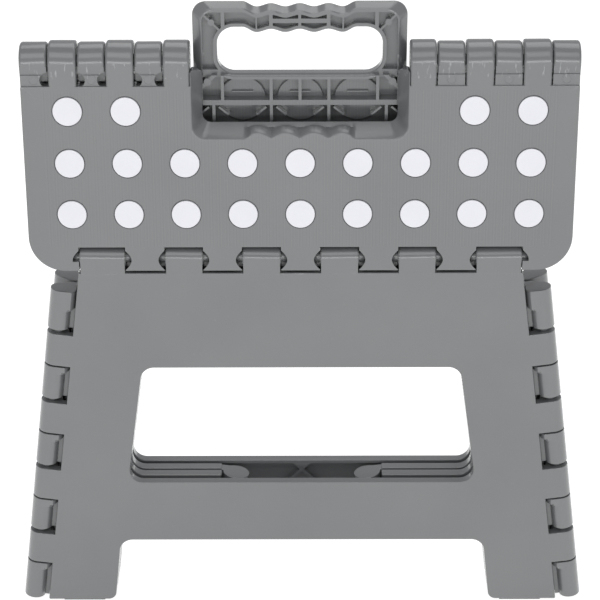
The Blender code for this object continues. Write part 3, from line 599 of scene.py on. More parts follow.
def leg_panel():
    """A leg, drawn as the front one."""
    side = NOTCH_REACH
    outline = both_sides(
        rounded(
            [
                (0, ARCH_TOP, 0),
                (arch_x(ARCH_TOP), ARCH_TOP, ARCH_RADIUS),
                (arch_x(FOOT_BOTTOM), FOOT_BOTTOM, FOOT_RADIUS),
                (edge_x(side, FOOT_BOTTOM), FOOT_BOTTOM, TRIM),
                (edge_x(side, LEG_TOP), LEG_TOP, TRIM),
                (0, LEG_TOP, 0),
            ]
        )[1:-1]
    )
    window = both_sides(
        rounded(
            [
                (0, WINDOW_LOW, 0),
                (window_x(WINDOW_LOW), WINDOW_LOW, WINDOW_RADIUS),
                (window_x(WINDOW_HIGH), WINDOW_HIGH, WINDOW_RADIUS),
                (0, WINDOW_HIGH, 0),
            ]
        )[1:-1]
    )
    body = prism([outline, window], LEG_BACK, LEG_FACE, FACING, SOFT, 2)
    cut(body, box((-EDGE_FLOOR, -PAST, 0), (-WALL, LEG_TOP + PAST, LEG_FACE + PAST), FACING))
    cut(body, box((PAD_FROM, -PAST, PAD_NEAR), (PAD_TO, PAD_HEIGHT + PAD_GAP, PAD_FAR), FACING))
    for start, end in edge_knuckles():
        join(body, prism([knuckle_section(side + 3 * MM)], start, end, EDGE, SOFT))
        pin_low = start - GAP_ABOVE - PIN_GRIP
        pin_high = end + GAP_BELOW + PIN_GRIP
        join(body, rod(PIN, pin_low, pin_high, EDGE))
    for centre, width in TABS:
        section = knuckle_section(TOP_HINGE - LEG_TOP + WALL)
        placed = frame_from((centre, -HINGE_Y, TOP_HINGE), (0, 0, -1), (0, -1, 0))
        join(body, prism([section], -width / 2, width / 2, placed, TAB_SOFT))
        for side_sign in (1, -1):
            start = (centre + side_sign * width / 2, -HINGE_Y, TOP_HINGE)
            placed = frame_from(start, (0, 1, 0), (0, 0, side_sign))
            disc = [(DISC, -PAST), (DISC, DISC_RISE - 0.1 * MM), (DISC - 0.2 * MM, DISC_RISE)]
            stud = dome(STUD_ROOT, DISC_RISE, STUD, STUD_BULGE)
            join(body, turned(disc + stud, placed, 28))
    tidied(body)
    hollows = [cell for cell in leg_cells() if max(point.x for point in cell) > 0]
    cut(body, prism(hollows, LEG_BACK - PAST, LEG_FACE - SKIN, FACING))
    return mirror(tidied(body))


def slanted(left, right, low, high):
    """A region between two heights and two lines, each line a function of height."""
    return [(left(low), low), (right(low), low), (right(high), high), (left(high), high)]


def at_edge(inwards):
    """The line at a distance inside the leg hinge axis."""
    return lambda z: edge_x(inwards, z)


def beside_window(z):
    return window_x(z) + WALL


def beside_arch(z):
    return arch_x(z) + 2 * WALL


def leg_cells():
    """The hollows behind a leg: bottom rail, head, stiles and feet."""
    inner = at_edge(NOTCH_REACH + WALL)
    rail_low, rail_high = ARCH_TOP + WALL, WINDOW_LOW - WALL
    top_low, top_high = WINDOW_HIGH + WALL, LEG_TOP - WALL
    rail = slanted(lambda z: -inner(z), inner, rail_low, rail_high)
    head = slanted(lambda z: -inner(z), inner, top_low, top_high)
    stile = slanted(beside_window, inner, WINDOW_LOW, WINDOW_HIGH)
    foot = slanted(beside_arch, inner, PAD_HEIGHT + PAD_GAP + WALL, ARCH_TOP)
    rail_ribs = crossed(LEG_CROSSES, rail_high - RAIL_CROSS_DROP)
    head_ribs = crossed(LEG_CROSSES, (top_low + top_high) / 2, 52)
    stile_ribs = crossed((115 * MM,), 95 * MM, 40) + crossed((115 * MM,), 132 * MM, 40)
    foot_ribs = crossed((123 * MM,), 22 * MM, 48)
    return (
        cells(rail, rail_ribs) + cells(head, head_ribs)
        + cells(stile, stile_ribs) + cells(foot, foot_ribs)
    )


def side_arm_section():
    """A side panel's knuckle on the leg hinge axis."""
    near, far = HINGE_Y - SIDE_NEAR, HINGE_Y - SIDE_FAR
    foot = (4 * MM, -near)
    leave = math.degrees(math.atan2(foot[1], foot[0]) - math.acos(BARREL / math.hypot(*foot)))
    start = -math.degrees(math.asin(far / BARREL))
    roll = arc((0, 0), BARREL, start, leave + 360 - start, 30)
    reach = SIDE_EDGE + 4 * MM
    return roll + [foot, (reach, DIP - near), (reach, -far - DIP)]


def fold_section():
    """A knuckle on the middle hinge of a side panel."""
    near, far = HINGE_Y - SIDE_NEAR, HINGE_Y - SIDE_FAR
    start = 180 - math.degrees(math.asin(SIDE_NEAR / FOLD_BARREL))
    end = 180 - math.degrees(math.asin(SIDE_FAR / FOLD_BARREL))
    roll = arc((FOLD_REACH, -HINGE_Y), FOLD_BARREL, start, end + 360 - start, 32)
    reach = SIDE_END - 4 * MM
    return [(reach, -far - DIP), (reach, DIP - near)] + roll


def side_outline():
    top_edge = edge_point(SIDE_EDGE, SIDE_TOP)
    top_end = edge_point(SIDE_END, SIDE_TOP)
    return rounded(
        [
            (arch_x(SIDE_FOOT), SIDE_FOOT, FOOT_RADIUS),
            (edge_x(SIDE_EDGE, SIDE_FOOT), SIDE_FOOT, TRIM),
            (*top_edge, TRIM),
            (*top_end, TRIM),
            (edge_x(SIDE_END, WINDOW_HIGH), WINDOW_HIGH, TRIM),
            (window_x(WINDOW_HIGH), WINDOW_HIGH, WINDOW_RADIUS),
            (window_x(WINDOW_LOW), WINDOW_LOW, WINDOW_RADIUS),
            (edge_x(SIDE_END, WINDOW_LOW), WINDOW_LOW, TRIM),
            (edge_x(SIDE_END, ARM_LOW), ARM_LOW, TRIM),
            (arch_x(ARM_LOW), ARM_LOW, ARCH_RADIUS),
        ]
    )


def side_cells():
    """The hollows behind a side panel: arm, head, stile and foot."""
    outer = at_edge(SIDE_EDGE + WALL + 2 * MM)
    inset = SIDE_END - 5 * MM
    arm_low, arm_high = ARM_LOW + WALL, WINDOW_LOW - WALL
    lower = slanted(at_edge(inset), outer, arm_low, arm_high)
    upper = [
        (edge_x(inset, WINDOW_HIGH + WALL), WINDOW_HIGH + WALL),
        (outer(WINDOW_HIGH + WALL), WINDOW_HIGH + WALL),
        edge_point(SIDE_EDGE + WALL + 2 * MM, SIDE_TOP - WALL),
        edge_point(inset, SIDE_TOP - WALL),
    ]
    stile = slanted(beside_window, outer, WINDOW_LOW, WINDOW_HIGH)
    foot = slanted(beside_arch, outer, SIDE_FOOT + WALL, ARM_LOW)
    lower_ribs = crossed((70 * MM, 106 * MM), (arm_low + arm_high) / 2, 42)
    upper_ribs = crossed((50 * MM, 84 * MM), 170 * MM, 48)
    stile_ribs = crossed((113 * MM,), 113 * MM, 55)
    return (
        cells(lower, lower_ribs) + cells(upper, upper_ribs)
        + cells(stile, stile_ribs) + cells(foot, [((124 * MM, 24 * MM), 0)])
    )


def side_knuckles():
    """The spans between and beyond the leg's edge knuckles."""
    spans = edge_knuckles()
    lows = [SIDE_FOOT + 0.5 * MM] + [end + GAP_BELOW for start, end in spans]
    highs = [start - GAP_ABOVE for start, end in spans] + [SIDE_TOP - 0.4 * MM]
    return list(zip(lows, highs))


def cap_ring(radius, along, steps=44):
    """A ring round the leg hinge axis that is wider on its inner side, but no thicker."""
    points = []
    for i in range(steps):
        angle = 2 * math.pi * (i + 0.5) / steps
        reach = CAP_FLAT
        if math.cos(angle) > 0:
            reach = max(CAP_FLAT, min(radius, CAP_FLAT / abs(math.sin(angle))))
        points.append((reach * math.cos(angle), reach * math.sin(angle), along))
    return points


def knuckle_cap(high):
    """The shoulder at a side knuckle's upper end that reaches the leg's edge."""
    height = CAP_TALL if high > SIDE_TOP - PAST else CAP_SHORT
    rings = [
        (CAP_FLAT, -height - CAP_SLOPE),
        (CAP, -height),
        (CAP, -0.5 * MM),
        (CAP - 0.4 * MM, -DIP),
    ]
    return loft([cap_ring(radius, high + along) for radius, along in rings], EDGE)


def side_panel(fold_knuckles, fold_pins):
    """A side panel, drawn at the right front; the others come from reflections."""
    body = prism([side_outline()], SIDE_NEAR, SIDE_FAR, FACING, SOFT, 2)
    for low, high in side_knuckles():
        join(body, prism([side_arm_section()], low, high, EDGE, KNUCKLE_SOFT))
        join(body, knuckle_cap(high))
        join(body, box((*WEB_LOW, low + 0.3 * MM), (*WEB_HIGH, high - PAST), EDGE))
    for low, high in fold_knuckles:
        join(body, prism([fold_section()], low, high, EDGE, KNUCKLE_SOFT))
    fold_axis = EDGE @ Matrix.Translation((FOLD_REACH, -HINGE_Y, 0))
    cut(body, rod(BORE, *EDGE_BORE, EDGE))
    if fold_pins:
        for low, high in fold_pins:
            join(body, rod(FOLD_PIN, low, high, fold_axis))
    else:
        for low, high in FOLD_BORES:
            cut(body, rod(FOLD_BORE, low, high, fold_axis))
    tidied(body)
    cut(body, prism(side_cells(), SIDE_NEAR + SKIN, SIDE_FAR + PAST, FACING))
    return tidied(body)


def centre_section(radius):
    """A knuckle of the top's centre hinge."""
    centre = (CENTRE_U, -CENTRE_DEPTH)
    start = 180 - math.degrees(math.asin((CENTRE_DEPTH - TOP_DEPTH) / radius))
    roll = arc(centre, radius, start, 450 - start, 40)
    root = TOP_HIGH - 3 * MM
    shoulder = [] if radius == CENTRE_BARREL else [(TOP_HIGH + 2 * MM, 0)]
    return [(root, DIP - TOP_DEPTH)] + roll + shoulder + [(root, -DIP)]


def top_plate(middle):
    """The right side of a plate; middle gives the corners beyond its centre edge."""
    outline = rounded(
        [
            (-WALL, TOP_LOW, 0),
            (TOP_HALF_WIDTH, TOP_LOW, TOP_CORNER),
            (TOP_HALF_WIDTH, TOP_HIGH, 1.0 * MM),
            (middle[0], TOP_HIGH, 0),
            *middle[1:],
            (-WALL, middle[-1][1], 0),
        ],
        16,
    )
    return prism([outline], -TOP_DEPTH, 0, FLAT, SOFT, 2)


def top_region(left, right, low, high):
    """A hollow's outline, bevelled where it reaches the plate's rounded corner."""
    corner = 6 * MM
    if low > HINGE_STRIP or right < TOP_HALF_WIDTH - 2 * WALL:
        return [(left, low), (right, low), (right, high), (left, high)]
    return [(left, low), (right - corner, low), (right, low + corner), (right, high), (left, high)]


def column_ribs(xs=RIB_COLUMNS):
    return [((x, 0), 90) for x in xs]


def row_ribs():
    return [((0, u), 0) for u in RIB_ROWS]


def hinge_cutters():
    """A notch for each leg tab, with a flared recess and a stud's socket at both ends."""
    tools = []
    overshoot = PAST / 5
    mouth = RECESS_MOUTH + (RECESS_MOUTH - RECESS_THROAT) * overshoot / RECESS_DEPTH
    for centre, width in TABS:
        half = width / 2 + TAB_GAP
        low = (centre - half, TOP_LOW - 5 * MM, -TOP_DEPTH - PAST)
        high = (centre + half, NOTCH_HIGH, PAST)
        tools.append(box(low, high, FLAT))
        for side in (1, -1):
            axis = frame_from((centre + side * half, 0, -BARREL), (0, 1, 0), (0, 0, -side))
            recess = turned([(RECESS_THROAT, -RECESS_DEPTH), (mouth, overshoot)], axis, 40)
            corner = side > 0 and centre == TABS[-1][0]
            lowest = CORNER_RECESS_LOW if corner else TOP_LOW - PAST
            shell = (0, lowest, -RECESS_FLOOR), (2 * TOP_HALF_WIDTH, 4 * NOTCH_HIGH, PAST)
            tools.append(combine(recess, [box(*shell, FLAT)], "INTERSECT"))
            deepest = -RECESS_DEPTH - SOCKET_DEPTH
            tools.append(turned([(SOCKET_THROAT, deepest), (SOCKET_MOUTH, PAST)], axis, 20))
    return tools


def dot_pockets(rows):
    """The seats of the pale inserts on the right half."""
    places = [(DOT_PITCH * k, u, 0) for u, row in zip(DOT_ROWS, rows) for k in row if k >= 0]
    profile = [
        (DOT_POCKET, -DOT_POCKET_DEPTH),
        (DOT_POCKET, -0.15 * MM),
        (DOT_POCKET + 0.25 * MM, 0.1 * MM),
        (DOT_POCKET + 0.25 * MM, PAST),
    ]
    return gathered([turned(profile, Matrix.Translation(place), 48) for place in places])


def cutout_tool():
    """The cut-out, wavy at the outer face and plain where it meets the underside."""
    levels = [
        (PAST, -0.9 * MM, 1.0),
        (0.0, -0.6 * MM, 1.0),
        (-0.2 * MM, -0.25 * MM, 1.0),
        (-0.65 * MM, 0.0, 1.0),
        (-3.5 * MM, 0.0, 1.0),
        (-5.4 * MM, 0.0, 0.75),
        (-6.6 * MM, 0.0, 0.0),
        (-TOP_DEPTH + 0.3 * MM, 0.0, 0.0),
        (-TOP_DEPTH - PAST, -0.8 * MM, 0.0),
    ]
    rings = []
    for depth, ease, waves in levels:
        width = CUTOUT_WIDTH + CUTOUT_SIDE_TAPER * depth - ease
        low = CUTOUT_LOW - CUTOUT_TAPER * depth + ease
        bottom = [(x, low + waves * scallop(x)) for x in reversed(wave_xs(10))]
        radius = CUTOUT_RADIUS + CUTOUT_RADIUS_TAPER * depth
        corner = rounded([(0, low, 0), (width, low, radius), (width, 1.0, 0)], 10)[1:-1]
        half = bottom + corner + [(width, CUTOUT_HIGH)]
        rings.append([(x, y, depth) for x, y in half + [(-x, y) for x, y in reversed(half[1:])]])
    return loft(rings, FLAT)


def add_knuckles(body, spans, radius):
    """Joins the knuckles of the top's centre hinge."""
    for low, high in spans:
        join(body, prism([centre_section(radius)], low, high, SECTION, 1.5 * MM, 3))


def cradle_section():
    """The lip of the front plate that cups a rear knuckle."""
    centre = (CENTRE_U, -CENTRE_DEPTH)
    face, low = -0.85 * MM, 1.0 * MM
    first = 180 - math.degrees(math.asin((CENTRE_DEPTH + face) / CRADLE))
    last = 180 - math.degrees(math.asin(low / CRADLE))
    roll = arc(centre, CRADLE, first, last - first, 12)
    return [(TOP_HIGH - 0.4 * MM, face)] + roll + [(TOP_HIGH - 0.8 * MM, low - CENTRE_DEPTH)]


def cradles():
    """The cups between the front knuckles; those on the left have round reliefs."""
    pieces = []
    for side in (1, -1):
        for low, high in REAR_KNUCKLES:
            inner, outer = low + CRADLE_GAP, min(high, TOP_HALF_WIDTH) - CRADLE_GAP
            ends = sorted((side * inner, side * outer))
            piece = prism([cradle_section()], *ends, SECTION, 0.12 * MM)
            middle = (low + high) / 2 * side
            join(piece, turned(EJECTOR_MARK, Matrix.Translation((middle, RELIEF_U, 0)), 32))
            if side < 0:
                for x in (-low, -high):
                    if x < -TOP_HALF_WIDTH:
                        continue
                    place = Matrix.Translation((x, RELIEF_U, 0))
                    cut(piece, rod(RELIEF, -11 * MM, PAST, place, 40))
            pieces.append(piece)
    return gathered(pieces)


def apron_section():
    """What a rear knuckle has below its barrel, seen from the front when folded."""
    centre = (CENTRE_U, -CENTRE_DEPTH)
    face = REAR_BARREL - DIP
    last = 180 + math.degrees(math.asin(face / APRON))
    roll = arc(centre, APRON, last, 180 - last, 14)
    return [(CENTRE_U, -CENTRE_DEPTH - face)] + roll + [(CENTRE_U - 4 * MM, -CENTRE_DEPTH)]


def centre_axis():
    return SECTION @ Matrix.Translation((CENTRE_U, -CENTRE_DEPTH, 0))


def top_front():
    """The front half of the top, with the cut-out."""
    lip = (LIP_WIDTH, (LIP_WIDTH, LIP_HIGH, 1.5 * MM), (49 * MM, LIP_HIGH - 4.5 * MM, 0))
    body = top_plate(lip)
    right = TOP_HALF_WIDTH - WALL
    ribs = column_ribs() + row_ribs()
    low_region = top_region(-WALL, right, HINGE_STRIP, RIB_ROWS[1] - RIB / 2)
    high_region = top_region(LIP_WIDTH + 4 * MM, right, RIB_ROWS[1] + RIB / 2, TOP_HIGH - WALL)
    outlines = cells(low_region, ribs) + cells(high_region, ribs)
    cut(body, prism(outlines, -TOP_DEPTH - PAST, -SKIN, FLAT))
    cut(body, cutout_tool())
    cut(body, *hinge_cutters())
    cut(body, dot_pockets(FRONT_DOTS))
    tidied(body)
    add_knuckles(body, FRONT_KNUCKLES, CENTRE_BARREL)
    axis = centre_axis()
    for low, high in CENTRE_PINS:
        join(body, rod(CENTRE_PIN, low, high, axis))
    mirror(tidied(body))
    join(body, cradles())
    tidied(body)
    body.data.transform(TOP)
    return body


def handle():
    """The carrying handle: a channel with a sloped outer band, lofted from its back to its rim."""
    levels = [
        (0.0, -0.5 * MM),
        (-0.5 * MM, 0.0),
        (-HANDLE_UPRIGHT, 0.0),
        (-HANDLE_DEPTH + 0.5 * MM, 0.0),
        (-HANDLE_DEPTH, -0.5 * MM),
    ]
    rings = []
    for depth, ease in levels:
        slope = max(0.0, (-depth - HANDLE_UPRIGHT) / (HANDLE_DEPTH - HANDLE_UPRIGHT))
        width = HANDLE_WIDTH - (HANDLE_WIDTH - HANDLE_RIM_WIDTH) * slope + ease
        top = HANDLE_TOP - (HANDLE_TOP - HANDLE_RIM_TOP) * slope + ease
        corner = rounded([(0, 0, 0), (width, 0, 0), (width, top, HANDLE_RADIUS), (0, top, 0)], 12)
        side = [(width, TOP_HIGH)] + corner[2:-1]
        rings.append([(x, y, depth) for x, y in completed(side + wave_points(top))])
    body = loft(rings, FLAT)
    cut(body, handle_hollow())
    return body


def half_grip(outset):
    """The right half of the grip opening's outline, set out by a distance."""
    low, high = GRIP_LOW - outset, GRIP_HIGH + outset
    width, radius = GRIP_WIDTH + outset, GRIP_RADIUS + outset
    corners = rounded([(0, low, 0), (width, low, radius), (width, high, radius), (0, high, 0)], 12)
    return corners[1:-1] + wave_points(high)


def grip_core(depth):
    """A solid that keeps hollows clear of the rim round the grip opening."""
    return prism([both_sides(half_grip(GRIP_RIM))], depth, 0, FLAT)


def grip_cutter():
    """The grip opening with rounded edges on both faces."""
    rings = []
    levels = [
        (PAST, 1.1 * MM),
        (0.0, 0.7 * MM),
        (-0.25 * MM, 0.25 * MM),
        (-0.8 * MM, 0.0),
        (-HANDLE_DEPTH + 0.6 * MM, 0.0),
        (-HANDLE_DEPTH, 0.45 * MM),
        (-HANDLE_DEPTH - 0.3 * MM, 0.7 * MM),
        (-TOP_DEPTH - PAST, 0.7 * MM),
    ]
    for depth, outset in levels:
        rings.append([(x, y, depth) for x, y in completed(half_grip(outset))])
    return loft(rings, FLAT)


def web(rib, side, low):
    """A straight web from the outer face down to low; a rib is place, angle, width, half length."""
    (x, u), degrees, width, length = rib
    turn = Matrix.Rotation(side * math.radians(degrees), 4, "Z")
    placed = Matrix.Translation((side * x, u, 0)) @ turn
    return box((-length, -width / 2, low), (length, width / 2, 0), placed)


def handle_hollow():
    """The space inside the handle's channel, without its ribs."""
    rim = HANDLE_RIM_WIDTH - WALL / 2
    top = HANDLE_RIM_TOP - WALL
    radius = HANDLE_RADIUS - WALL
    low = GRIP_LOW + 2.2 * MM
    corners = rounded([(0, low, 0), (rim, low, 0), (rim, top, radius), (0, top, 0)])
    outer = both_sides(corners[1:-1] + wave_points(top))
    hollow = prism([outer], -HANDLE_DEPTH - PAST, -SKIN, FLAT)
    cut(hollow, grip_core(-HANDLE_DEPTH - 2 * PAST))
    for rib in HANDLE_RIBS:
        on_middle = rib[0][0] == 0
        for side in (1,) if on_middle else (1, -1):
            cut(hollow, web(rib, side, -TOP_DEPTH))
    for side in (1, -1):
        placed = Matrix.Translation((side * HANDLE_PIP[0], HANDLE_PIP[1], 0))
        cut(hollow, rod(HANDLE_PIP_RADIUS, -TOP_DEPTH, 0, placed))
    return hollow


def rear_bosses():
    """Bosses behind the seats of the rear half's upper dots, and the webs beside them."""
    tools = []
    edge = 0.4 * MM
    profile = [(BOSS - edge, -BOSS_DEPTH), (BOSS, edge - BOSS_DEPTH), (BOSS, 0)]
    for x in (-DOT_PITCH, 0.0, DOT_PITCH):
        tools.append(turned(profile, Matrix.Translation((x, REAR_ROW, 0)), 40))
        tools.append(box(*[(x + corner[0], *corner[1:]) for corner in BOSS_LINE], FLAT))
    for side in (1, -1):
        tools += [web(rib, side, CORNER_WEB_LOW) for rib in CORNER_WEBS]
        x, u = CORNER_WEBS[0][0]
        placed = Matrix.Translation((side * x, u, 0))
        tools.append(rod(CORNER_PIP_RADIUS, CORNER_WEB_LOW - 0.2 * MM, 0, placed))
    return tools


def top_rear():
    """The rear half of the top, with the handle."""
    body = top_plate((HANDLE_WIDTH, (HANDLE_WIDTH, GRIP_LOW, 0)))
    right = TOP_HALF_WIDTH - WALL
    below, above = REAR_ROW - REAR_ROW_RIB / 2, REAR_ROW + REAR_ROW_RIB / 2
    region = top_region(-WALL, right, HINGE_STRIP, below)
    outlines = cells(region, column_ribs() + row_ribs()[:2])
    outer = top_region(HANDLE_WIDTH + WALL, right, above, TOP_HIGH - WALL)
    outlines += cells(outer, column_ribs())
    middle = top_region(-WALL, HANDLE_RIM_WIDTH - WALL / 2, above, GRIP_LOW + 0.6 * MM)
    upper = cells(middle, column_ribs((0.0, 15 * MM, 40.3 * MM)))
    hollows = prism(outlines + upper, -TOP_DEPTH - PAST, -SKIN, FLAT)
    cut(hollows, grip_core(-TOP_DEPTH - 2 * PAST))
    cut(hollows, *rear_bosses())
    cut(body, hollows)
    cut(body, *hinge_cutters())
    cut(body, dot_pockets(REAR_DOTS))
    join(body, handle())
    cut(body, grip_cutter())
    tidied(body)
    add_knuckles(body, REAR_KNUCKLES, REAR_BARREL)
    for low, high in REAR_KNUCKLES:
        join(body, prism([apron_section()], low + 0.3 * MM, high - 0.3 * MM, SECTION, 0.2 * MM))
    bore_end = TOP_HALF_WIDTH + 2 * MM
    cut(body, rod(CENTRE_BORE, LIP_WIDTH, bore_end, centre_axis()))
    mirror(tidied(body))
    body.data.transform(HALF_TURN @ TOP)
    cut(body, *relief_cutters())
    return tidied(body)


def relief_cutters():
    """The round reliefs at the left rear knuckles' edges, as they stand when folded."""
    height = TOP_HINGE + CENTRE_RISE - RELIEF_DROP
    places = [FACING @ Matrix.Translation((x, height, 0)) for x in RELIEF_EDGES]
    return [rod(RELIEF, 5.5 * MM, 12 * MM, place, 30) for place in places]


class Surface:
    """A new material, with the few kinds of node that the materials here are made of."""

    def __init__(self, name, roughness):
        self.material = bpy.data.materials.new(name)
        self.material.use_nodes = True
        self.nodes = self.material.node_tree.nodes
        self.links = self.material.node_tree.links
        self.shader = self.nodes["Principled BSDF"].inputs
        self.shader["Roughness"].default_value = roughness
        self.place = self.nodes.new("ShaderNodeTexCoord").outputs

    def noise(self, scale, detail=2.0, stretch=(1.0, 1.0, 1.0)):
        vector = self.place["Object"]
        if stretch != (1.0, 1.0, 1.0):
            mapping = self.nodes.new("ShaderNodeMapping")
            mapping.inputs["Scale"].default_value = stretch
            self.links.new(vector, mapping.inputs["Vector"])
            vector = mapping.outputs["Vector"]
        texture = self.nodes.new("ShaderNodeTexNoise")
        texture.inputs["Scale"].default_value = scale
        texture.inputs["Detail"].default_value = detail
        self.links.new(vector, texture.inputs["Vector"])
        return texture.outputs["Fac"]

    def calc(self, operation, first, second=0.0):
        node = self.nodes.new("ShaderNodeMath")
        node.operation = operation
        for socket, value in zip(node.inputs, (first, second)):
            if isinstance(value, float):
                socket.default_value = value
            else:
                self.links.new(value, socket)
        return node.outputs[0]

    def product(self, *values):
        result = values[0]
        for value in values[1:]:
            result = self.calc("MULTIPLY", result, value)
        return result

    def tint(self, amount, colours, ends=(0.0, 1.0)):
        """Runs from the first colour to the second as the amount goes from end to end."""
        ramp = self.nodes.new("ShaderNodeValToRGB")
        for element, colour, position in zip(ramp.color_ramp.elements, colours, ends):
            element.color = (*colour, 1)
            element.position = position
        self.links.new(amount, ramp.inputs["Fac"])
        return ramp.outputs["Color"]

    def over(self, colour, top, amount):
        """Lays a plain colour over another by the amount."""
        mix = self.nodes.new("ShaderNodeMixRGB")
        mix.inputs["Color2"].default_value = (*top, 1)
        self.links.new(amount, mix.inputs["Fac"])
        self.links.new(colour, mix.inputs["Color1"])
        return mix.outputs["Color"]

    def split(self, vector):
        node = self.nodes.new("ShaderNodeSeparateXYZ")
        self.links.new(vector, node.inputs[0])
        return node.outputs

    def colour(self, socket):
        self.links.new(socket, self.shader["Base Color"])

    def bump(self, height, strength, distance):
        node = self.nodes.new("ShaderNodeBump")
        node.inputs["Strength"].default_value = strength
        node.inputs["Distance"].default_value = distance
        self.links.new(height, node.inputs["Height"])
        self.links.new(node.outputs["Normal"], self.shader["Normal"])


def fine_lines(surface):
    """Two sets of fine upright lines on the flat outer face of the top's halves."""
    spot = surface.split(surface.place["Object"])
    facing = surface.split(surface.place["Normal"])
    waves = [
        surface.calc("SINE", surface.calc("MULTIPLY", spot["X"], 2 * math.pi / pitch))
        for pitch in LINE_PITCHES
    ]
    mask = surface.product(
        surface.calc("LESS_THAN", surface.calc("ABSOLUTE", spot["X"]), LINED_HALF_WIDTH),
        surface.calc("GREATER_THAN", surface.calc("ABSOLUTE", facing["Y"]), 0.95),
        surface.calc("GREATER_THAN", spot["Z"], LINED_HEIGHTS[0]),
        surface.calc("LESS_THAN", spot["Z"], LINED_HEIGHTS[1]),
    )
    return surface.product(surface.calc("ADD", *waves), mask, LINE_CONTRAST)


def rub_marks(surface):
    """Short pale streaks along the centre hinge."""
    height = surface.split(surface.place["Object"])["Z"]
    streaks = surface.noise(1.0, 3.0, (620.0, 300.0, 170.0))
    strong = surface.calc("MULTIPLY", surface.calc("SUBTRACT", streaks, 0.60), 5.0)
    rubbed = surface.calc("MINIMUM", surface.calc("MAXIMUM", strong), 0.55)
    return surface.product(
        rubbed,
        surface.calc("GREATER_THAN", height, RUBBED_HEIGHTS[0]),
        surface.calc("LESS_THAN", height, RUBBED_HEIGHTS[1]),
    )


def plastic(name, top=False):
    """Moulded grey plastic: soft clouding, sparse specks and fine grain, with the top's marks."""
    surface = Surface(name, 0.27)
    surface.shader["Specular IOR Level"].default_value = 0.55
    surface.shader["Coat Weight"].default_value = 0.85
    surface.shader["Coat Roughness"].default_value = 0.17
    specks = surface.calc("GREATER_THAN", surface.noise(420.0), 0.735)
    shade = surface.calc("ADD", surface.noise(14.0, 4.0), surface.calc("MULTIPLY", specks, 0.35))
    if top:
        shade = surface.calc("ADD", shade, fine_lines(surface))
    colour = surface.tint(shade, GREYS, (0.3, 0.7))
    if top:
        colour = surface.over(colour, RUBBED, rub_marks(surface))
    surface.colour(colour)
    surface.bump(surface.noise(900.0, 3.0), 0.12, 0.2 * MM)
    return surface.material


def clouded(name, roughness, scale, colours):
    """A matt material that drifts between two colours."""
    surface = Surface(name, roughness)
    surface.colour(surface.tint(surface.noise(scale), colours))
    return surface.material


GREY_PLASTIC = plastic("grey_plastic")
LINED_PLASTIC = plastic("lined_plastic", top=True)
PALE_INSERT = clouded("pale_insert", 0.5, 60.0, PALES)
DARK_PAD = clouded("dark_pad", 0.8, 400.0, DARKS)


def placed_piece(obj, node, body, material):
    """Finishes a piece and hands it to its body."""
    obj.name = node + "_fine"
    obj.data.name = obj.name
    obj.data.materials.clear()
    obj.data.materials.append(material)
    obj.data.shade_smooth()
    obj.data.set_sharp_from_angle(angle=math.radians(28))
    weighted = obj.modifiers.new("weighted", "WEIGHTED_NORMAL")
    weighted.keep_sharp = True
    weighted.weight = 80
    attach(obj, body)
    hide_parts(node)
    return obj


def dot_piece(turn, column, u):
    """A pale insert: flat top with a rounded rim."""
    seat = turn @ TOP @ Matrix.Translation((DOT_PITCH * column, u, 0))
    profile = [
        (DOT_RADIUS, -DOT_BOTTOM),
        (DOT_RADIUS, DOT_PROUD - 0.35 * MM),
        (DOT_RADIUS - 0.1 * MM, DOT_PROUD - 0.12 * MM),
        (DOT_RADIUS - 0.35 * MM, DOT_PROUD),
    ]
    return turned(profile, seat, 56)


front_leg = leg_panel()
rear_leg = add_object("rear_leg", front_leg.data.copy())
rear_leg.data.transform(HALF_TURN)
placed_piece(front_leg, "front_leg", "front_leg", GREY_PLASTIC)
placed_piece(rear_leg, "rear_leg", "rear_leg", GREY_PLASTIC)
placed_piece(top_front(), "top_front", "top_front", LINED_PLASTIC)
placed_piece(top_rear(), "top_rear", "top_rear", LINED_PLASTIC)
right_front = side_panel(FOLD_FRONT, FOLD_PINS)
template = side_panel(FOLD_REAR, ())
right_rear = reflected(template, (0, 1, 0))
drop(template)
for source, place in ((right_front, "front"), (right_rear, "rear")):
    left = reflected(source, (1, 0, 0))
    placed_piece(left, "side_left_" + place, "side_left_" + place, GREY_PLASTIC)
    placed_piece(source, "side_right_" + place, "side_right_" + place, GREY_PLASTIC)

for prefix, rows, turn in (("top_front", FRONT_DOTS, FLAT), ("top_rear", REAR_DOTS, HALF_TURN)):
    for row, (u, columns) in enumerate(zip(DOT_ROWS, rows), start=1):
        for column in columns:
            name = f"{prefix}_dot_{row}_{column + 5}"
            piece = dot_piece(turn, column, u)
            placed_piece(piece, name, prefix, PALE_INSERT)

for name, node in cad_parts.items():
    if "foot_pad" in name:
        node.data.materials.clear()
        node.data.materials.append(DARK_PAD)

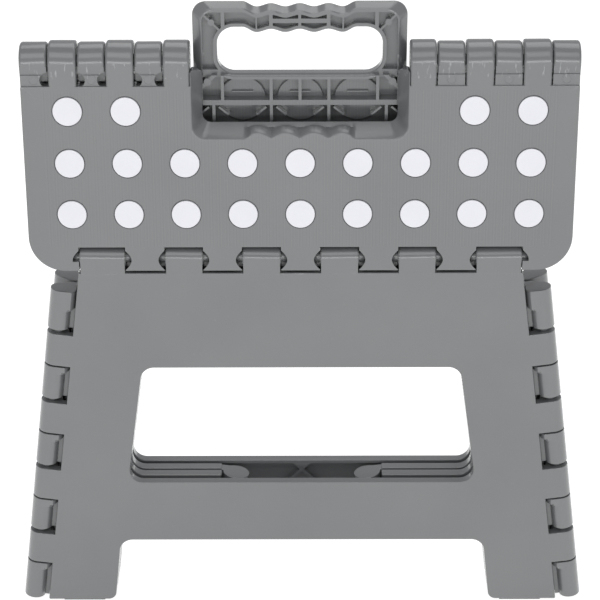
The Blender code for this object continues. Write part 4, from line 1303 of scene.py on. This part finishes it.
# Studio
floor_mesh = bpy.data.meshes.new("floor")
bm = bmesh.new()
bmesh.ops.create_grid(bm, x_segments=1, y_segments=1, size=6.0)
bm.to_mesh(floor_mesh)
bm.free()
floor = add_object("floor", floor_mesh)
paper = Surface("floor", 0.9)
paper.shader["Base Color"].default_value = (0.5, 0.5, 0.5, 1)
paper.shader["Emission Color"].default_value = (1, 1, 1, 1)
paper.shader["Emission Strength"].default_value = 0.84
floor.data.materials.append(paper.material)

scene = bpy.context.scene
scene.view_settings.view_transform = "Standard"
world = bpy.data.worlds.new("studio")
scene.world = world
world.use_nodes = True
sky = world.node_tree.nodes["Background"].inputs
sky["Color"].default_value = (0.97, 0.98, 1.0, 1)
sky["Strength"].default_value = 0.52


def softbox(name, place, size, energy):
    """A rectangular lamp aimed at the middle of the stool."""
    lamp = bpy.data.lights.new(name, "AREA")
    lamp.shape = "RECTANGLE"
    lamp.size, lamp.size_y = size
    lamp.energy = energy
    holder = bpy.data.objects.new(name, lamp)
    scene.collection.objects.link(holder)
    holder.location = place
    aim = Vector(LAMP_AIM) - Vector(place)
    holder.rotation_euler = aim.to_track_quat("-Z", "Y").to_euler()


softbox("key", (-0.2, -1.15, 1.5), (1.4, 0.8), 4.4)
softbox("top", (0.2, 0.5, 1.8), (1.4, 1.0), 6.6)
softbox("strip", (0.1, -1.9, 0.42), (2.6, 0.26), 9.5)

camera = bpy.data.objects.new("camera", bpy.data.cameras.new("camera"))
scene.collection.objects.link(camera)
camera.data.lens = 120.35
camera.data.sensor_width = 36
pitch, yaw, roll = [math.radians(degrees) for degrees in CAMERA_TURNS]
ahead = Vector((math.sin(yaw) * math.cos(pitch), math.cos(yaw) * math.cos(pitch), -math.sin(pitch)))
right = Vector((math.cos(yaw), -math.sin(yaw), 0))
turn = Matrix((right, right.cross(ahead), -ahead)).transposed().to_4x4()
place = Matrix.Translation(CAMERA_PLACE)
camera.matrix_world = place @ turn @ Matrix.Rotation(-roll, 4, "Z")
scene.camera = camera
